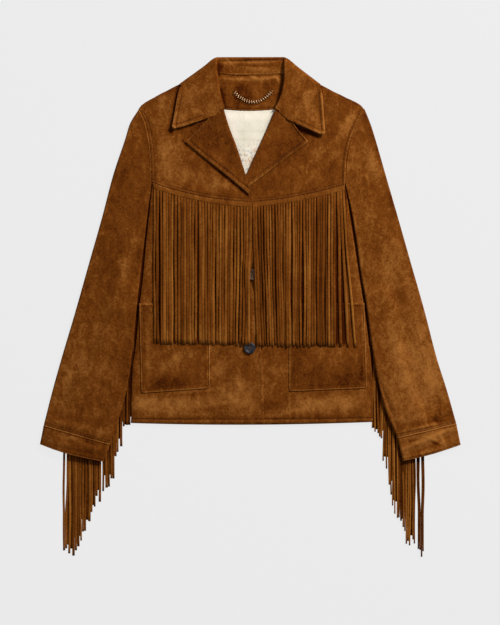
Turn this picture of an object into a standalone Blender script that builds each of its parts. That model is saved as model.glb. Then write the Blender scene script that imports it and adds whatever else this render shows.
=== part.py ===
"""Fringed suede jacket laid flat, front up: walls of suede on a common set of height fields."""
import math

import bpy
import bmesh
from mathutils import Vector

MM = 0.001

# Driving sizes in millimetres.
WALL = 1.8              # suede with its seam turnings
DOUBLE_WALL = 2.0       # collar and lapels, two skins
TRIM_WALL = 1.4         # pockets and fringe
LINING_WALL = 1.0
FACING_WALL = 1.2
GAP = 0.3               # between pieces at seams and between layers
FRINGE_GAP = 0.5        # strands over the fronts
LAYER_GAP = 0.5         # between back and fronts at the rolled edges
PUFF = 1.4              # air between back and fronts away from the edges
ROLL = 26.0             # width of the rolled edges at sides, hem and shoulders
COLLAR_LIFT = 2.4       # back panel raised by the collar's fall beneath it
COLLAR_FADE = 55.0
LAP_LIFT = 2.1          # buttoned front over the other front
LAP_WIDTH = 30.0
LAP_FADE = 45.0
LAP_TOP = 236.0
FRINGE_LIFT = 2.7       # sleeve raised by the fringe beneath it
FRINGE_MARGIN = 16.0
FRINGE_FADE = 26.0
FLOOR_CLEARANCE = 0.5   # underside of the sleeve fringe
SLEEVE_BULGE = 1.2
ARM_GAP = 0.25          # sleeve and body each stand back this far from the armhole seam
FRONT_UNDER = WALL + LAYER_GAP + PUFF
FRONT_TOP = FRONT_UNDER + WALL
SLEEVE_HEIGHT = FRONT_TOP

# Outline of the body: x, y.
SHOULDERS = {
    -1: [(-199.5, 355.5), (-191, 363), (-175, 376), (-154, 387), (-134, 396), (-120, 400), (-80, 420)],
    1: [(203.5, 357.5), (192, 365), (174, 376), (152, 387), (131, 395), (117, 396.5), (80, 418)],
}
SIDES = {
    -1: [(-178, 221), (-183, 171), (-189, 119), (-195, 54), (-201, 4), (-208, -70), (-213, -108),
         (-214, -133), (-213, -176), (-215, -207)],
    1: [(171, 218), (184, 149), (193, 83), (206, 5), (213, -46), (219, -97), (221, -133),
        (221, -185), (221, -204)],
}
HEM = [(-215, -207), (-110, -210), (3, -211.5), (110, -208), (221, -204)]
CENTRE_FRONT = [(1, 198), (3, 184), (10, 103), (18, -70), (24, -97), (26, -212)]
# Armhole: shoulder point, underarm point, bow and where along the seam the bow is greatest.
ARMHOLES = {
    -1: dict(top=(-201, 354), under=(-178, 221), bow=9.5, lean=0.7),
    1: dict(top=(205, 356), under=(172, 218), bow=11.5, lean=1.0),
}
ARM_STEPS = (0.03, 0.12, 0.22, 0.33, 0.44, 0.56, 0.68, 0.8, 0.9, 0.97)
# Neck edge of each yoke, from the shoulder point's height to the break.
YOKE_INNER = {
    -1: [(-55, 356), (-30, 278), (-7, 213)],
    1: [(54, 356), (27, 278), (10, 240), (-8, 216)],
}
YOKE_SHOULDER = {
    -1: [((-84, 417.5), (-73, 416)), ((-134, 396), (-67, 397)), ((-175, 376), (-61, 376))],
    1: [((84, 415.5), (73, 414)), ((131, 394.5), (67, 397)), ((174, 376), (60, 376))],
}
# Yoke seam: armhole end, centre end and bow.
YOKE_SEAM = {
    -1: dict(arm=(-176.5, 221.5), centre=(2.5, 187.0), bow=7.0),
    1: dict(arm=(171.0, 218.5), centre=(-27.0, 185.5), bow=6.5),
}
# Front sections below the yoke seam: y at the side, y at the centre front.
FRONT_ROWS = [(171, 150), (119, 103), (54, 48), (4, 0), (-70, -70), (-108, -106), (-150, -149),
              (-190, -192), (-200, -204)]
POCKETS = {
    -1: dict(top=((-200, 6), (-73, 7)), foot=((-196, -155), (-73, -146))),
    1: dict(top=((70, 7), (205, 7)), foot=((70, -152), (210, -146))),
}
BUTTONS = {"button_upper": (3.0, 58.0), "button_lower": (-1.0, -74.0)}
BUTTON_RADIUS = 10.3
BUTTON_HEIGHT = 3.2
# Back neck, facing and lining: half widths and heights.
BACK_NECK = dict(left=(-80, 420), right=(80, 420), drop=6.0)
FACING = dict(top=413.0, foot=355.5, left=-58.0, right=56.0)
LINING = dict(top=355.0, foot=205.0, left=-62.0, right=58.0, foot_left=-40.0, foot_right=28.0)
CHAIN = dict(left=(-33, 385), right=(39, 385), sag=19.0, radius=1.5, pad=2.6)
# Sleeve sections: outer end x, y and inner end x, y, from armhole to cuff seam, and bow.
SLEEVES = {
    -1: [((-201, 354), (-178, 221), 9.5), ((-225, 304), (-183.5, 182), 6.0),
         ((-247, 238), (-190, 128), 3.0), ((-267, 162), (-197.5, 63), 0.0),
         ((-290, 81), (-204.5, 0), 0.0), ((-316, -11), (-211, -68), 0.0),
         ((-340, -92), (-219, -131), 0.0), ((-356, -149), (-231, -182), 0.0),
         ((-372, -212), (-252, -246), 0.0)],
    1: [((205, 356), (172, 218), 11.5), ((225, 304), (180.5, 182), 7.0),
        ((244, 238), (190, 128), 3.0), ((266, 162), (199, 63), 0.0),
        ((289, 81), (209.5, 0), 0.0), ((314, -7), (218.5, -68), 0.0),
        ((336, -92), (229.5, -131), 0.0), ((354, -149), (242.5, -182), 0.0),
        ((371, -209), (264, -234), 0.0)],
}
CUFFS = {
    -1: [((-372.2, -212.7), (-252.2, -246.7)), ((-379, -247), (-264, -278))],
    1: [((371.2, -209.7), (264.2, -234.7)), ((379, -248), (275, -277))],
}
# Fringe: counts, strand width as a share of the pitch, and the lines of roots and tips.
CHEST_FRINGE = {
    -1: dict(count=33, start=-172.0, end=0.0, tip_start=-66.0, tip_end=-70.0,
             centre_drift=-1.0, side_drift=1.0),
    1: dict(count=33, start=5.5, end=167.5, tip_start=-71.0, tip_end=-71.0,
            centre_drift=8.0, side_drift=9.0),
}
STRAND_SHARE = 0.8
STRIP_WIDTH = 7.0
STRAND_STATIONS = (82.0, 34.0, 10.0, -50.0)     # heights where a chest strand may bend
RAGGED = 3.0                                    # unevenness of the cut ends
LAP_MARGIN = 7.0                                # strands this near the upper front's edge lie on it
POCKET_MARGIN = 5.0
BUTTON_MARGIN = (5.0, 28.0)                     # across and along the strands
SLEEVE_FRINGE = {
    -1: dict(count=25, roots=[(-336, -220), (-308, -212), (-292, -153), (-271, -115), (-249, -83),
                              (-221, 13)],
             tips=[(-333, -443), (-319, -448), (-308, -437), (-292, -390), (-272, -344),
                   (-258, -326), (-249, -308), (-233, -261), (-221, -218)]),
    1: dict(count=25, roots=[(226, 7), (241, -50), (255, -117), (269, -166), (287, -205),
                             (313, -225)],
            tips=[(226, -218), (241, -275), (255, -342), (269, -391), (287, -430), (302, -445),
                  (313, -450)]),
}
SLEEVE_STRIP = 9.0
# Soft creases: x, y, direction in degrees, half length, half width and height.
CREASES = [
    (300, -190, 15, 60, 9, 0.9),
    (318, -222, 12, 55, 8, 0.8),
    (-315, -60, 70, 90, 22, 0.9),
    (300, -20, 105, 110, 24, 0.9),
    (-250, 120, 62, 80, 20, 0.8),
    (262, 110, 118, 80, 20, 0.8),
]
# Lapel sections: outer edge x, y, roll x, y and rise of the roll.
LAPELS = {
    -1: [((-68, 341), (-47.5, 354), 4.5), ((-92, 320), (-43, 340), 4.2),
         ((-117, 297), (-37, 321), 3.8), ((-78, 265), (-25, 290), 3.2),
         ((-40, 235), (-14.5, 258), 2.4), ((-12, 211.5), (-3.5, 222), 1.4),
         ((-3, 203.5), (0.2, 207), 1.0)],
    1: [((70, 335), (45, 355), 4.5), ((87, 317), (39, 342), 4.2), ((104, 297), (31, 323), 3.8),
        ((72, 274), (18, 294), 3.2), ((36, 245), (5, 263), 2.4), ((9, 227.5), (0.5, 237.5), 1.6)],
}
# Collar sections: turn from leaf (0) to back (180), then seam, roll and outer edge x, y.
COLLAR = {
    -1: [(0, (-51, 360), (-46.5, 357), (-142, 318)), (0, (-57, 378), (-51, 374), (-137, 345)),
         (0, (-62, 398), (-56, 394), (-131, 378)), (0, (-64, 414), (-59, 418), (-127, 394)),
         (0, (-62, 418), (-61, 434), None), (45, (-60, 419.5), (-62.5, 444), None),
         (90, (-57, 420), (-62.5, 449), None), (135, (-54, 420), (-59, 451), None),
         (180, (-50, 420), (-53, 451), None)],
    1: [(0, (49, 360), (44.5, 357), (135, 307)), (0, (59, 378), (53, 375), (132, 345)),
        (0, (63, 398), (59, 396), (130, 376)), (0, (65, 414), (61, 420), (127, 393)),
        (0, (63, 418), (61.5, 435), None), (45, (61, 419.5), (62.5, 444), None),
        (90, (58, 420), (62.5, 449), None), (135, (55, 420), (59, 451), None),
        (180, (51, 420), (53, 451), None)],
}
FOLD_LINE = {-1: ((-62, 450), (-125.5, 403)), 1: ((62, 450), (126, 402.5))}
# Back of the collar: how far the neck seam dips, where the fall ends, and the gap at its two ends.
COLLAR_BACK = dict(seam_dip=4.5, fall_y=376.0, end_gap=1.0, steps=6)
COLLAR_RISE = 3.5       # roll of the leaf above the yoke
ROLL_HALF = 2.2         # half the height of the collar's roll

SUEDE = (0.16, 0.062, 0.012, 1.0)
SUEDE_DARK = (0.11, 0.04, 0.008, 1.0)
CREAM = (0.82, 0.76, 0.64, 1.0)
HORN = (0.03, 0.026, 0.024, 1.0)
STEEL = (0.6, 0.6, 0.6, 1.0)


def clamp(value):
    """Limit a share to the range from 0 to 1."""
    return max(0.0, min(1.0, value))


def ease(value):
    """Smooth step from 0 to 1."""
    t = clamp(value)
    return t * t * (3.0 - 2.0 * t)


def mix(a, b, t):
    """Point between two points."""
    return tuple(p + (q - p) * t for p, q in zip(a, b))


def along(path, t):
    """Point at share t of a polyline's length."""
    lengths = [math.dist(p, q) for p, q in zip(path, path[1:])]
    reach = clamp(t) * sum(lengths)
    for start, end, length in zip(path, path[1:], lengths):
        if reach <= length:
            return mix(start, end, reach / length)
        reach -= length
    return path[-1]


def value_at(path, x):
    """Second coordinate of a polyline at its first coordinate x."""
    points = sorted(path)
    if x <= points[0][0]:
        return points[0][1]
    for (x0, y0), (x1, y1) in zip(points, points[1:]):
        if x <= x1:
            return y0 + (y1 - y0) * (x - x0) / (x1 - x0)
    return points[-1][1]


def x_at(path, y):
    """First coordinate of a polyline at height y."""
    return value_at([(q, p) for p, q in path], y)


def distance(path, x, y):
    """Distance from a point to a polyline."""
    best = 1e9
    for (x0, y0), (x1, y1) in zip(path, path[1:]):
        dx, dy = x1 - x0, y1 - y0
        t = clamp(((x - x0) * dx + (y - y0) * dy) / (dx * dx + dy * dy))
        best = min(best, math.hypot(x - x0 - dx * t, y - y0 - dy * t))
    return best


def fall_depth(x, y):
    """How far outside the area of the collar's fall a point lies."""
    side = -1 if x < 0 else 1
    lower = [FOLD_LINE[side][1], (side * 96, 380), (0, 375)]
    below = value_at(lower, x) - y
    beyond = abs(x) - abs(FOLD_LINE[side][1][0])
    return max(below, beyond, 0.0)


def back_lift(x, y):
    """Rise of the back panel over the collar's fall."""
    return COLLAR_LIFT * (1.0 - ease((fall_depth(x, y) - 10.0) / COLLAR_FADE))


def edge_puff(x, y):
    """Air under the fronts: none at the rolled edges, PUFF in the middle."""
    paths = [SHOULDERS[-1], SHOULDERS[1], SIDES[-1], SIDES[1], HEM]
    reach = clamp(min(distance(path, x, y) for path in paths) / ROLL)
    return PUFF * math.sqrt(1.0 - (1.0 - reach) ** 2)


def crease(x, y):
    """Sum of the soft creases at a point."""
    total = 0.0
    for cx, cy, turn, length, width, height in CREASES:
        ca, sa = math.cos(math.radians(turn)), math.sin(math.radians(turn))
        run = (x - cx) * ca + (y - cy) * sa
        off = -(x - cx) * sa + (y - cy) * ca
        total += height * math.exp(-(run / length) ** 2 - (off / width) ** 2)
    return total


def lap_lift(x, y):
    """Rise of the wearer's right front over the other one, below the break of the lapels."""
    centre = x_at(CENTRE_FRONT, y)
    below = 1.0 - ease((y - LAP_TOP) / LAP_FADE)
    return LAP_LIFT * below * ease((x - centre + LAP_WIDTH + 8.0 + LAP_FADE) / LAP_FADE)


def front_height(side, x, y):
    """Underside of a front or yoke."""
    z = WALL + LAYER_GAP + back_lift(x, y) + edge_puff(x, y)
    if side < 0:
        z += lap_lift(x, y)
    return z


def front_top(side, x, y):
    """Face of a front or yoke."""
    return front_height(side, x, y) + WALL


def sleeve_lift(side, x, y):
    """Rise of a sleeve over the fringe that hangs under it."""
    roots = SLEEVE_FRINGE[side]["roots"]
    xs = [p[0] for p in roots]
    away = 0.0
    if not (min(xs) <= x <= max(xs) and y <= value_at(roots, x)):
        foot = [(xs[0], roots[0][1]), (xs[0], -300), (xs[-1], -300), (xs[-1], roots[-1][1])]
        away = min(distance(roots, x, y), distance(foot, x, y))
    return FRINGE_LIFT * (1.0 - ease((away - FRINGE_MARGIN) / FRINGE_FADE))


def armhole(side, t):
    """Point of the armhole seam, from the shoulder at 0 to the underarm at 1."""
    data = ARMHOLES[side]
    return bowed(data["top"], data["under"], t, -side * data["bow"] * math.sin(math.pi * t ** data["lean"]))


def bowed(start, end, t, offset):
    """Point between two ends, moved to the left of the line's direction turned towards +x."""
    x, y = mix(start, end, t)
    dx, dy = end[0] - start[0], end[1] - start[1]
    length = math.hypot(dx, dy)
    return (x - dy / length * offset, y + dx / length * offset)


def spread(count, crowd=1.0):
    """Stations from 0 to 1, closer together near both ends."""
    stations = []
    for index in range(count + 1):
        even = index / count
        round_ = 0.5 - 0.5 * math.cos(math.pi * even)
        stations.append(even + (round_ - even) * crowd)
    return stations


def grid_object(name, columns, rows, place, material):
    """Grid mesh whose vertex (column, row) goes to place(column, row) in millimetres."""
    bm = bmesh.new()
    bmesh.ops.create_grid(bm, x_segments=columns, y_segments=rows, size=1.0)
    for vert in bm.verts:
        column = round((vert.co.x + 1.0) * 0.5 * columns)
        row = round((vert.co.y + 1.0) * 0.5 * rows)
        vert.co = Vector(place(column, row)) * MM
    return finish_mesh(name, bm, material)


def finish_mesh(name, bm, material):
    """Turn a bmesh into an object of the jacket."""
    mesh = bpy.data.meshes.new(name)
    bm.to_mesh(mesh)
    bm.free()
    mesh.materials.append(material)
    mesh.shade_smooth()
    mesh.set_sharp_from_angle(angle=math.radians(40.0))
    obj = bpy.data.objects.new(name, mesh)
    PARTS.objects.link(obj)
    return obj


def thicken(obj, wall, offset):
    """Give an open surface its wall."""
    solid = obj.modifiers.new("wall", 'SOLIDIFY')
    solid.thickness = wall * MM
    solid.offset = offset
    solid.use_even_offset = True
    return obj


def sheet(name, sections, height, wall, material, columns=10, steps=2, crowd=1.0):
    """Panel through sections (left end, right end, bow), listed from top to foot."""
    stations = spread(columns, crowd)
    rows = (len(sections) - 1) * steps

    def place(column, row):
        reach = (rows - row) / steps
        index = min(int(reach), len(sections) - 2)
        t = reach - index
        upper, lower = sections[index], sections[index + 1]
        left = mix(upper[0], lower[0], t)
        right = mix(upper[1], lower[1], t)
        bow = upper[2] + (lower[2] - upper[2]) * t
        u = stations[column]
        x, y = bowed(left, right, u, -4.0 * bow * u * (1.0 - u))
        return x, y, height(x, y)

    return thicken(grid_object(name, columns, rows, place, material), wall, 1.0)


def ordered(side, outer, inner, bow):
    """Section with its left end first."""
    return (outer, inner, bow) if side < 0 else (inner, outer, bow)


def side_name(side):
    """Name of a side as seen from the front."""
    return "left" if side < 0 else "right"


def shift(point, dx, dy=0.0):
    """Point moved by dx, dy."""
    return (point[0] + dx, point[1] + dy)


def make_back():
    """Back panel: shoulders, armholes, sides and hem."""
    sections = []
    neck = BACK_NECK
    sections.append((neck["left"], neck["right"], neck["drop"]))
    for t in (0.72, 0.42, 0.0):
        left = along(SHOULDERS[-1], t)
        right = along(SHOULDERS[1], t)
        sections.append((left, right, neck["drop"] * t))
    for t in ARM_STEPS + (1.0,):
        left = shift(armhole(-1, t), ARM_GAP)
        right = shift(armhole(1, t), -ARM_GAP)
        sections.append((left, right, 0.0))
    for share in (0.12, 0.25, 0.4, 0.52, 0.66, 0.78, 0.9, 1.0):
        sections.append((along(SIDES[-1], share), along(SIDES[1], share), 0.0))
    last = sections[-1]
    sections[-1] = (last[0], last[1], 6.0)
    return sheet("back_panel", sections, back_lift, WALL, SUEDE_MATERIAL, columns=8, steps=1, crowd=0.4)


def over_back(x, y):
    """Underside of what lies on the back panel."""
    return back_lift(x, y) + WALL + GAP


def make_inside():
    """Back facing and lining, as far as they show in the neck."""
    face = FACING
    sections = [((face["left"], face["top"]), (face["right"], face["top"]), 2.0),
                ((face["left"], face["foot"]), (face["right"], face["foot"]), 1.0)]
    sheet("back_facing", sections, over_back, FACING_WALL, SUEDE_MATERIAL, columns=8, steps=4)
    line = LINING
    sections = [((line["left"], line["top"] - 0.3), (line["right"], line["top"] - 0.3), 1.0),
                ((line["foot_left"], line["foot"]), (line["foot_right"], line["foot"]), 0.0)]
    sheet("lining_back", sections, over_back, LINING_WALL, CREAM_MATERIAL, columns=6, steps=6)


def make_chain():
    """Hanger chain with its two sewn ends, as one smooth rod."""
    points = []
    count = 14
    lift = FACING_WALL + GAP + CHAIN["radius"]
    for index in range(count + 1):
        t = index / count
        x, y = mix(CHAIN["left"], CHAIN["right"], t)
        y -= 4.0 * CHAIN["sag"] * t * (1.0 - t)
        points.append((x, y, over_back(x, y) + lift + 0.1))
    curve = bpy.data.curves.new("hanger_chain", 'CURVE')
    curve.dimensions = '3D'
    curve.bevel_depth = CHAIN["radius"] * MM
    curve.bevel_resolution = 1
    curve.use_fill_caps = True
    spline = curve.splines.new('POLY')
    spline.points.add(len(points) - 1)
    for target, point in zip(spline.points, points):
        target.co = (point[0] * MM, point[1] * MM, point[2] * MM, 1.0)
    curve.materials.append(STEEL_MATERIAL)
    obj = bpy.data.objects.new("hanger_chain", curve)
    PARTS.objects.link(obj)


def make_yoke(side):
    """Front yoke from shoulder and armhole to the fringed seam."""
    seam = YOKE_SEAM[side]
    sections = []
    for outer, inner in YOKE_SHOULDER[side]:
        sections.append(ordered(side, outer, inner, 0.0))
    for t in (0.0,) + ARM_STEPS[:-1]:
        outer = shift(armhole(side, t), -side * ARM_GAP) if t > 0.0 else SHOULDERS[side][0]
        inner = along(YOKE_INNER[side], t / ARM_STEPS[-2])
        sections.append(ordered(side, outer, inner, seam["bow"] * t ** 3))
    arm, centre = (shift(seam[end], 0.0, GAP / 2.0) for end in ("arm", "centre"))
    sections.append(ordered(side, arm, centre, seam["bow"]))

    def height(x, y):
        return front_height(side, x, y)

    sheet("yoke_" + side_name(side), sections, height, WALL, SUEDE_MATERIAL, columns=9, steps=1, crowd=0.8)


def front_inner_x(side, y):
    """Centre edge of a front: the upper one reaches the centre, the other one laps under it."""
    centre = x_at(CENTRE_FRONT, y)
    return centre if side < 0 else centre - LAP_WIDTH


def make_front(side):
    """Lower front from the fringed seam to the hem."""
    seam = YOKE_SEAM[side]
    arm, centre = (shift(seam[end], 0.0, -GAP / 2.0) for end in ("arm", "centre"))
    sections = [ordered(side, arm, centre, seam["bow"])]
    for row, (y_side, y_centre) in enumerate(FRONT_ROWS):
        outer = (x_at(SIDES[side], y_side), y_side)
        inner = (front_inner_x(side, y_centre), y_centre)
        sections.append(ordered(side, outer, inner, max(0.0, seam["bow"] * (1.0 - (row + 1) / 4.0))))
    outer = SIDES[side][-1]
    sections.append(ordered(side, outer, (front_inner_x(side, -212), -211.5), 1.0))

    def height(x, y):
        return front_height(side, x, y)

    sheet("front_" + side_name(side), sections, height, WALL, SUEDE_MATERIAL, columns=10, steps=1, crowd=1.0)


def make_pocket(side):
    """Patch pocket on a front."""
    data = POCKETS[side]
    sections = [(data["top"][0], data["top"][1], 0.0), (data["foot"][0], data["foot"][1], 0.0)]

    def height(x, y):
        return front_top(side, x, y) + GAP

    sheet("pocket_" + side_name(side), sections, height, TRIM_WALL, SUEDE_MATERIAL, columns=7, steps=6)


def make_button(name, place):
    """Sewn button with a dished face."""
    x, y = place
    base = front_top(-1, x, y) + GAP
    bpy.ops.mesh.primitive_cylinder_add(vertices=24, radius=BUTTON_RADIUS * MM, depth=BUTTON_HEIGHT * MM,
                                        location=(x * MM, y * MM, (base + BUTTON_HEIGHT / 2.0) * MM))
    obj = bpy.context.object
    obj.name = name
    obj.data.name = name
    obj.data.materials.append(HORN_MATERIAL)
    for collection in obj.users_collection:
        collection.objects.unlink(obj)
    PARTS.objects.link(obj)
    bevel = obj.modifiers.new("rim", 'BEVEL')
    bevel.width = 0.8 * MM
    bevel.segments = 1
    bevel.limit_method = 'ANGLE'


def ring(side, outer, inner, bow, lean, height, bulge):
    """Closed outline of a flattened tube between an outer and an inner end."""
    radius = height / 2.0
    corner = 0.3 * radius
    edge = corner / math.dist(outer, inner)
    loop = [(u, 0.0) for u in ARM_STEPS]
    loop += [(1.0 - edge, corner), (1.0, radius), (1.0 - edge, height - corner)]
    loop += [(u, height + bulge * math.sin(math.pi * u)) for u in reversed(ARM_STEPS)]
    loop += [(edge, height - corner), (0.0, radius), (edge, corner)]
    points = []
    for u, z in loop:
        x, y = bowed(outer, inner, u, -side * bow * math.sin(math.pi * u ** lean))
        rise = sleeve_lift(side, x, y) + clamp(z / height) * crease(x, y)
        points.append((x, y, z + rise))
    return points


def tube(name, rings, wall, material):
    """Open tube through rings of equal counts, with its wall inside."""
    around = len(rings[0])

    def place(column, row):
        return rings[row][column % around]

    obj = grid_object(name, around, len(rings) - 1, place, material)
    bm = bmesh.new()
    bm.from_mesh(obj.data)
    bmesh.ops.remove_doubles(bm, verts=bm.verts, dist=0.01 * MM)
    bmesh.ops.recalc_face_normals(bm, faces=bm.faces)
    if max(bm.faces, key=lambda face: face.calc_center_median().z).normal.z < 0.0:
        bmesh.ops.reverse_faces(bm, faces=bm.faces)
    bm.to_mesh(obj.data)
    bm.free()
    return thicken(obj, wall, -1.0)


def make_sleeve(side):
    """Sleeve from the armhole to the cuff seam."""
    rings = []
    table = SLEEVES[side]
    lean = ARMHOLES[side]["lean"]
    for (outer0, inner0, bow0), (outer1, inner1, bow1) in zip(table, table[1:]):
        steps = 2 if len(rings) > 2 else 1
        for step in range(steps):
            t = step / steps
            outer = mix(outer0, outer1, t)
            inner = mix(inner0, inner1, t)
            if not rings:
                outer = shift(outer, side * ARM_GAP)
                inner = shift(inner, side * ARM_GAP)
            bulge = SLEEVE_BULGE * ease(len(rings) / 3.0)
            bow = bow0 + (bow1 - bow0) * t
            rings.append(ring(side, outer, inner, bow, lean, SLEEVE_HEIGHT, bulge))
    outer, inner, bow = table[-1]
    rings.append(ring(side, outer, inner, bow, lean, SLEEVE_HEIGHT, SLEEVE_BULGE))
    tube("sleeve_" + side_name(side), rings, WALL, SUEDE_MATERIAL)


def make_cuff(side):
    """Cuff band, a short open tube."""
    (outer0, inner0), (outer1, inner1) = CUFFS[side]
    rings = []
    for t in (0.0, 0.5, 1.0):
        outer = mix(outer0, outer1, t)
        inner = mix(inner0, inner1, t)
        rings.append(ring(side, outer, inner, 0.0, 1.0, SLEEVE_HEIGHT + GAP, SLEEVE_BULGE))
    tube("cuff_" + side_name(side), rings, DOUBLE_WALL, SUEDE_MATERIAL)


def comb(name, strands, material):
    """Fringe: a strip of one row, and below it one ribbon for each entry of strands.

    Each entry lists stations (left x, y, right x, y, z) from the strip's top edge to the tip.
    """
    count = len(strands)
    stations = len(strands[0])

    def place(column, row):
        left = column % 2 == 0
        x0, y0, x1, y1, z = strands[column // 2][stations - 1 - row]
        return (x0, y0, z) if left else (x1, y1, z)

    obj = grid_object(name, 2 * count - 1, stations - 1, place, material)
    bm = bmesh.new()
    bm.from_mesh(obj.data)
    bm.faces.ensure_lookup_table()
    columns = 2 * count - 1
    spare = [face for face in bm.faces
             if (face.index % columns) % 2 == 1 and face.index // columns < stations - 2]
    bmesh.ops.delete(bm, geom=spare, context='FACES')
    bm.to_mesh(obj.data)
    bm.free()
    return thicken(obj, TRIM_WALL, 1.0)


def seam_y(side, x):
    """Height of the yoke seam at x."""
    seam = YOKE_SEAM[side]
    left, right = sorted((seam["arm"], seam["centre"]))
    u = clamp((x - left[0]) / (right[0] - left[0]))
    return bowed(left, right, u, -4.0 * seam["bow"] * u * (1.0 - u))[1]


def strand_height(side, x, y):
    """Underside of a chest strand: over the front, the pocket and the buttons."""
    panel = -1 if x < x_at(CENTRE_FRONT, y) + LAP_MARGIN else side
    z = front_top(panel, x, y) + FRINGE_GAP
    (left, _), (right, top) = POCKETS[side]["top"]
    if left - POCKET_MARGIN <= x <= right + POCKET_MARGIN and y <= top + POCKET_MARGIN:
        z += TRIM_WALL + GAP
    for bx, by in BUTTONS.values():
        if abs(x - bx) < BUTTON_RADIUS + BUTTON_MARGIN[0] and abs(y - by) < BUTTON_MARGIN[1]:
            z = max(z, front_top(-1, bx, by) + GAP + BUTTON_HEIGHT + FRINGE_GAP)
    return z


def make_chest_fringe(side):
    """Fringe sewn under the yoke seam."""
    data = CHEST_FRINGE[side]
    count = data["count"]
    pitch = (data["end"] - data["start"]) / (count - 1)
    half = pitch * STRAND_SHARE / 2.0
    strands = []
    for index in range(count):
        share = index / (count - 1)
        root = data["start"] + pitch * index
        tip = data["tip_start"] + (data["tip_end"] - data["tip_start"]) * share
        tip += RAGGED * math.sin(index * 2.4) * math.sin(index * 0.7)
        drift = data["centre_drift"] * ease(1.0 - 2.2 * (share if side > 0 else 1.0 - share))
        drift += data["side_drift"] * ease(8.0 * (share if side > 0 else 1.0 - share) - 7.0)
        top = seam_y(side, root) - 0.8
        foot = top - STRIP_WIDTH
        left_top = (root - half, seam_y(side, root - half) - 0.8)
        right_top = (root + half, seam_y(side, root + half) - 0.8)
        stations = [(left_top[0], left_top[1], right_top[0], right_top[1], strand_height(side, root, top))]
        for y in (foot,) + STRAND_STATIONS + (tip,):
            fallen = (foot - y) / (foot - tip)
            x = root + drift * fallen ** 1.3
            stations.append((x - half, y, x + half, y, strand_height(side, x, y)))
        strands.append(stations)
    comb("chest_fringe_" + side_name(side), strands, DARK_MATERIAL)


def make_sleeve_fringe(side):
    """Fringe of the elbow seam, hanging straight and lying under the sleeve."""
    data = SLEEVE_FRINGE[side]
    roots, tips, count = data["roots"], data["tips"], data["count"]
    pitch = (roots[-1][0] - roots[0][0]) / (count - 1)
    half = pitch * STRAND_SHARE / 2.0
    strands = []
    for index in range(count):
        x = roots[0][0] + pitch * index
        tip = value_at(tips, x) + 5.0 * math.sin(index * 2.1)
        left = (x - half, value_at(roots, x - half))
        right = (x + half, value_at(roots, x + half))
        low = min(left[1], right[1]) - 3.0
        z = FLOOR_CLEARANCE
        stations = [(left[0], left[1] + SLEEVE_STRIP, right[0], right[1] + SLEEVE_STRIP, z),
                    (left[0], left[1], right[0], right[1], z),
                    (left[0], low, right[0], low, z)]
        sway = 1.5 * math.sin(index * 0.9)
        for t in (0.5, 1.0):
            y = low + (tip - low) * t
            stations.append((left[0] + sway * t, y, right[0] + sway * t, y, z))
        strands.append(stations)
    comb("sleeve_fringe_" + side_name(side), strands, DARK_MATERIAL)


def make_lapel(side):
    """Lapel turned back over the yoke, with its soft roll at the neck edge."""
    table = LAPELS[side]
    steps = 2
    rows = (len(table) - 1) * steps
    # Stations across: share from the outer edge to the roll, then the turn down: inset and drop.
    flat = (0.0, 0.12, 0.34, 0.58, 0.8, 0.93)
    turn = ((3.0, 0.0), (0.9, 0.9), (0.0, 3.0), (0.4, 4.6))

    def place(column, row):
        reach = (rows - row) / steps
        index = min(int(reach), len(table) - 2)
        t = reach - index
        outer = mix(table[index][0], table[index + 1][0], t)
        roll = mix(table[index][1], table[index + 1][1], t)
        rise = table[index][2] + (table[index + 1][2] - table[index][2]) * t
        station = column if side < 0 else len(flat) + len(turn) - 1 - column
        span = math.dist(outer, roll)
        if station < len(flat):
            share = flat[station] * (span - 3.2) / span
            drop = 0.0
        else:
            inset, drop = turn[station - len(flat)]
            share = 1.0 - min(inset, span * 0.4) / span
        x, y = mix(outer, roll, share)
        z = front_top(side, x, y) + GAP + DOUBLE_WALL + rise * share ** 3
        if station >= len(flat):
            rolled = mix(outer, roll, 1.0)
            crown = front_top(side, *rolled) + GAP + DOUBLE_WALL + rise
            z = crown - drop
        return x, y, z

    obj = grid_object("lapel_" + side_name(side), len(flat) + len(turn) - 1, rows, place, SUEDE_MATERIAL)
    return thicken(obj, DOUBLE_WALL - 0.4, -1.0)


def collar_sections(side):
    """Leaf and fold of the collar: turn, seam, roll and outer edge with heights."""
    skin = DOUBLE_WALL / 2.0
    fold_start, fold_end = FOLD_LINE[side]
    dx, dy = fold_end[0] - fold_start[0], fold_end[1] - fold_start[1]
    length = math.hypot(dx, dy)
    inward = (-side * abs(dy) / length, -abs(dx) / length)
    out = []
    for turn, seam, roll, edge in COLLAR[side]:
        angle = math.radians(turn)
        if edge is None:
            top = FRONT_TOP + COLLAR_LIFT + GAP + skin
            radius = (top - skin) / 2.0
            inset = radius * (1.0 - math.sin(angle)) + skin
            edge = (fold_end[0] + inward[0] * inset, fold_end[1] + inward[1] * inset)
            edge_z = skin + radius * (1.0 + math.cos(angle))
            leaf_z = top + COLLAR_RISE - ROLL_HALF
        else:
            edge_z = front_top(side, *edge) + GAP + skin
            leaf_z = front_top(side, *mix(roll, edge, 0.2)) + GAP + skin + COLLAR_RISE - ROLL_HALF
        back_z = skin + ROLL_HALF
        roll_z = back_z + (leaf_z - back_z) * (0.5 + 0.5 * math.cos(angle))
        seam_z = over_back(*seam) + FACING_WALL + GAP + skin
        out.append((angle, (*seam, seam_z), (*roll, roll_z), (*edge, edge_z)))
    return out


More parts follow.
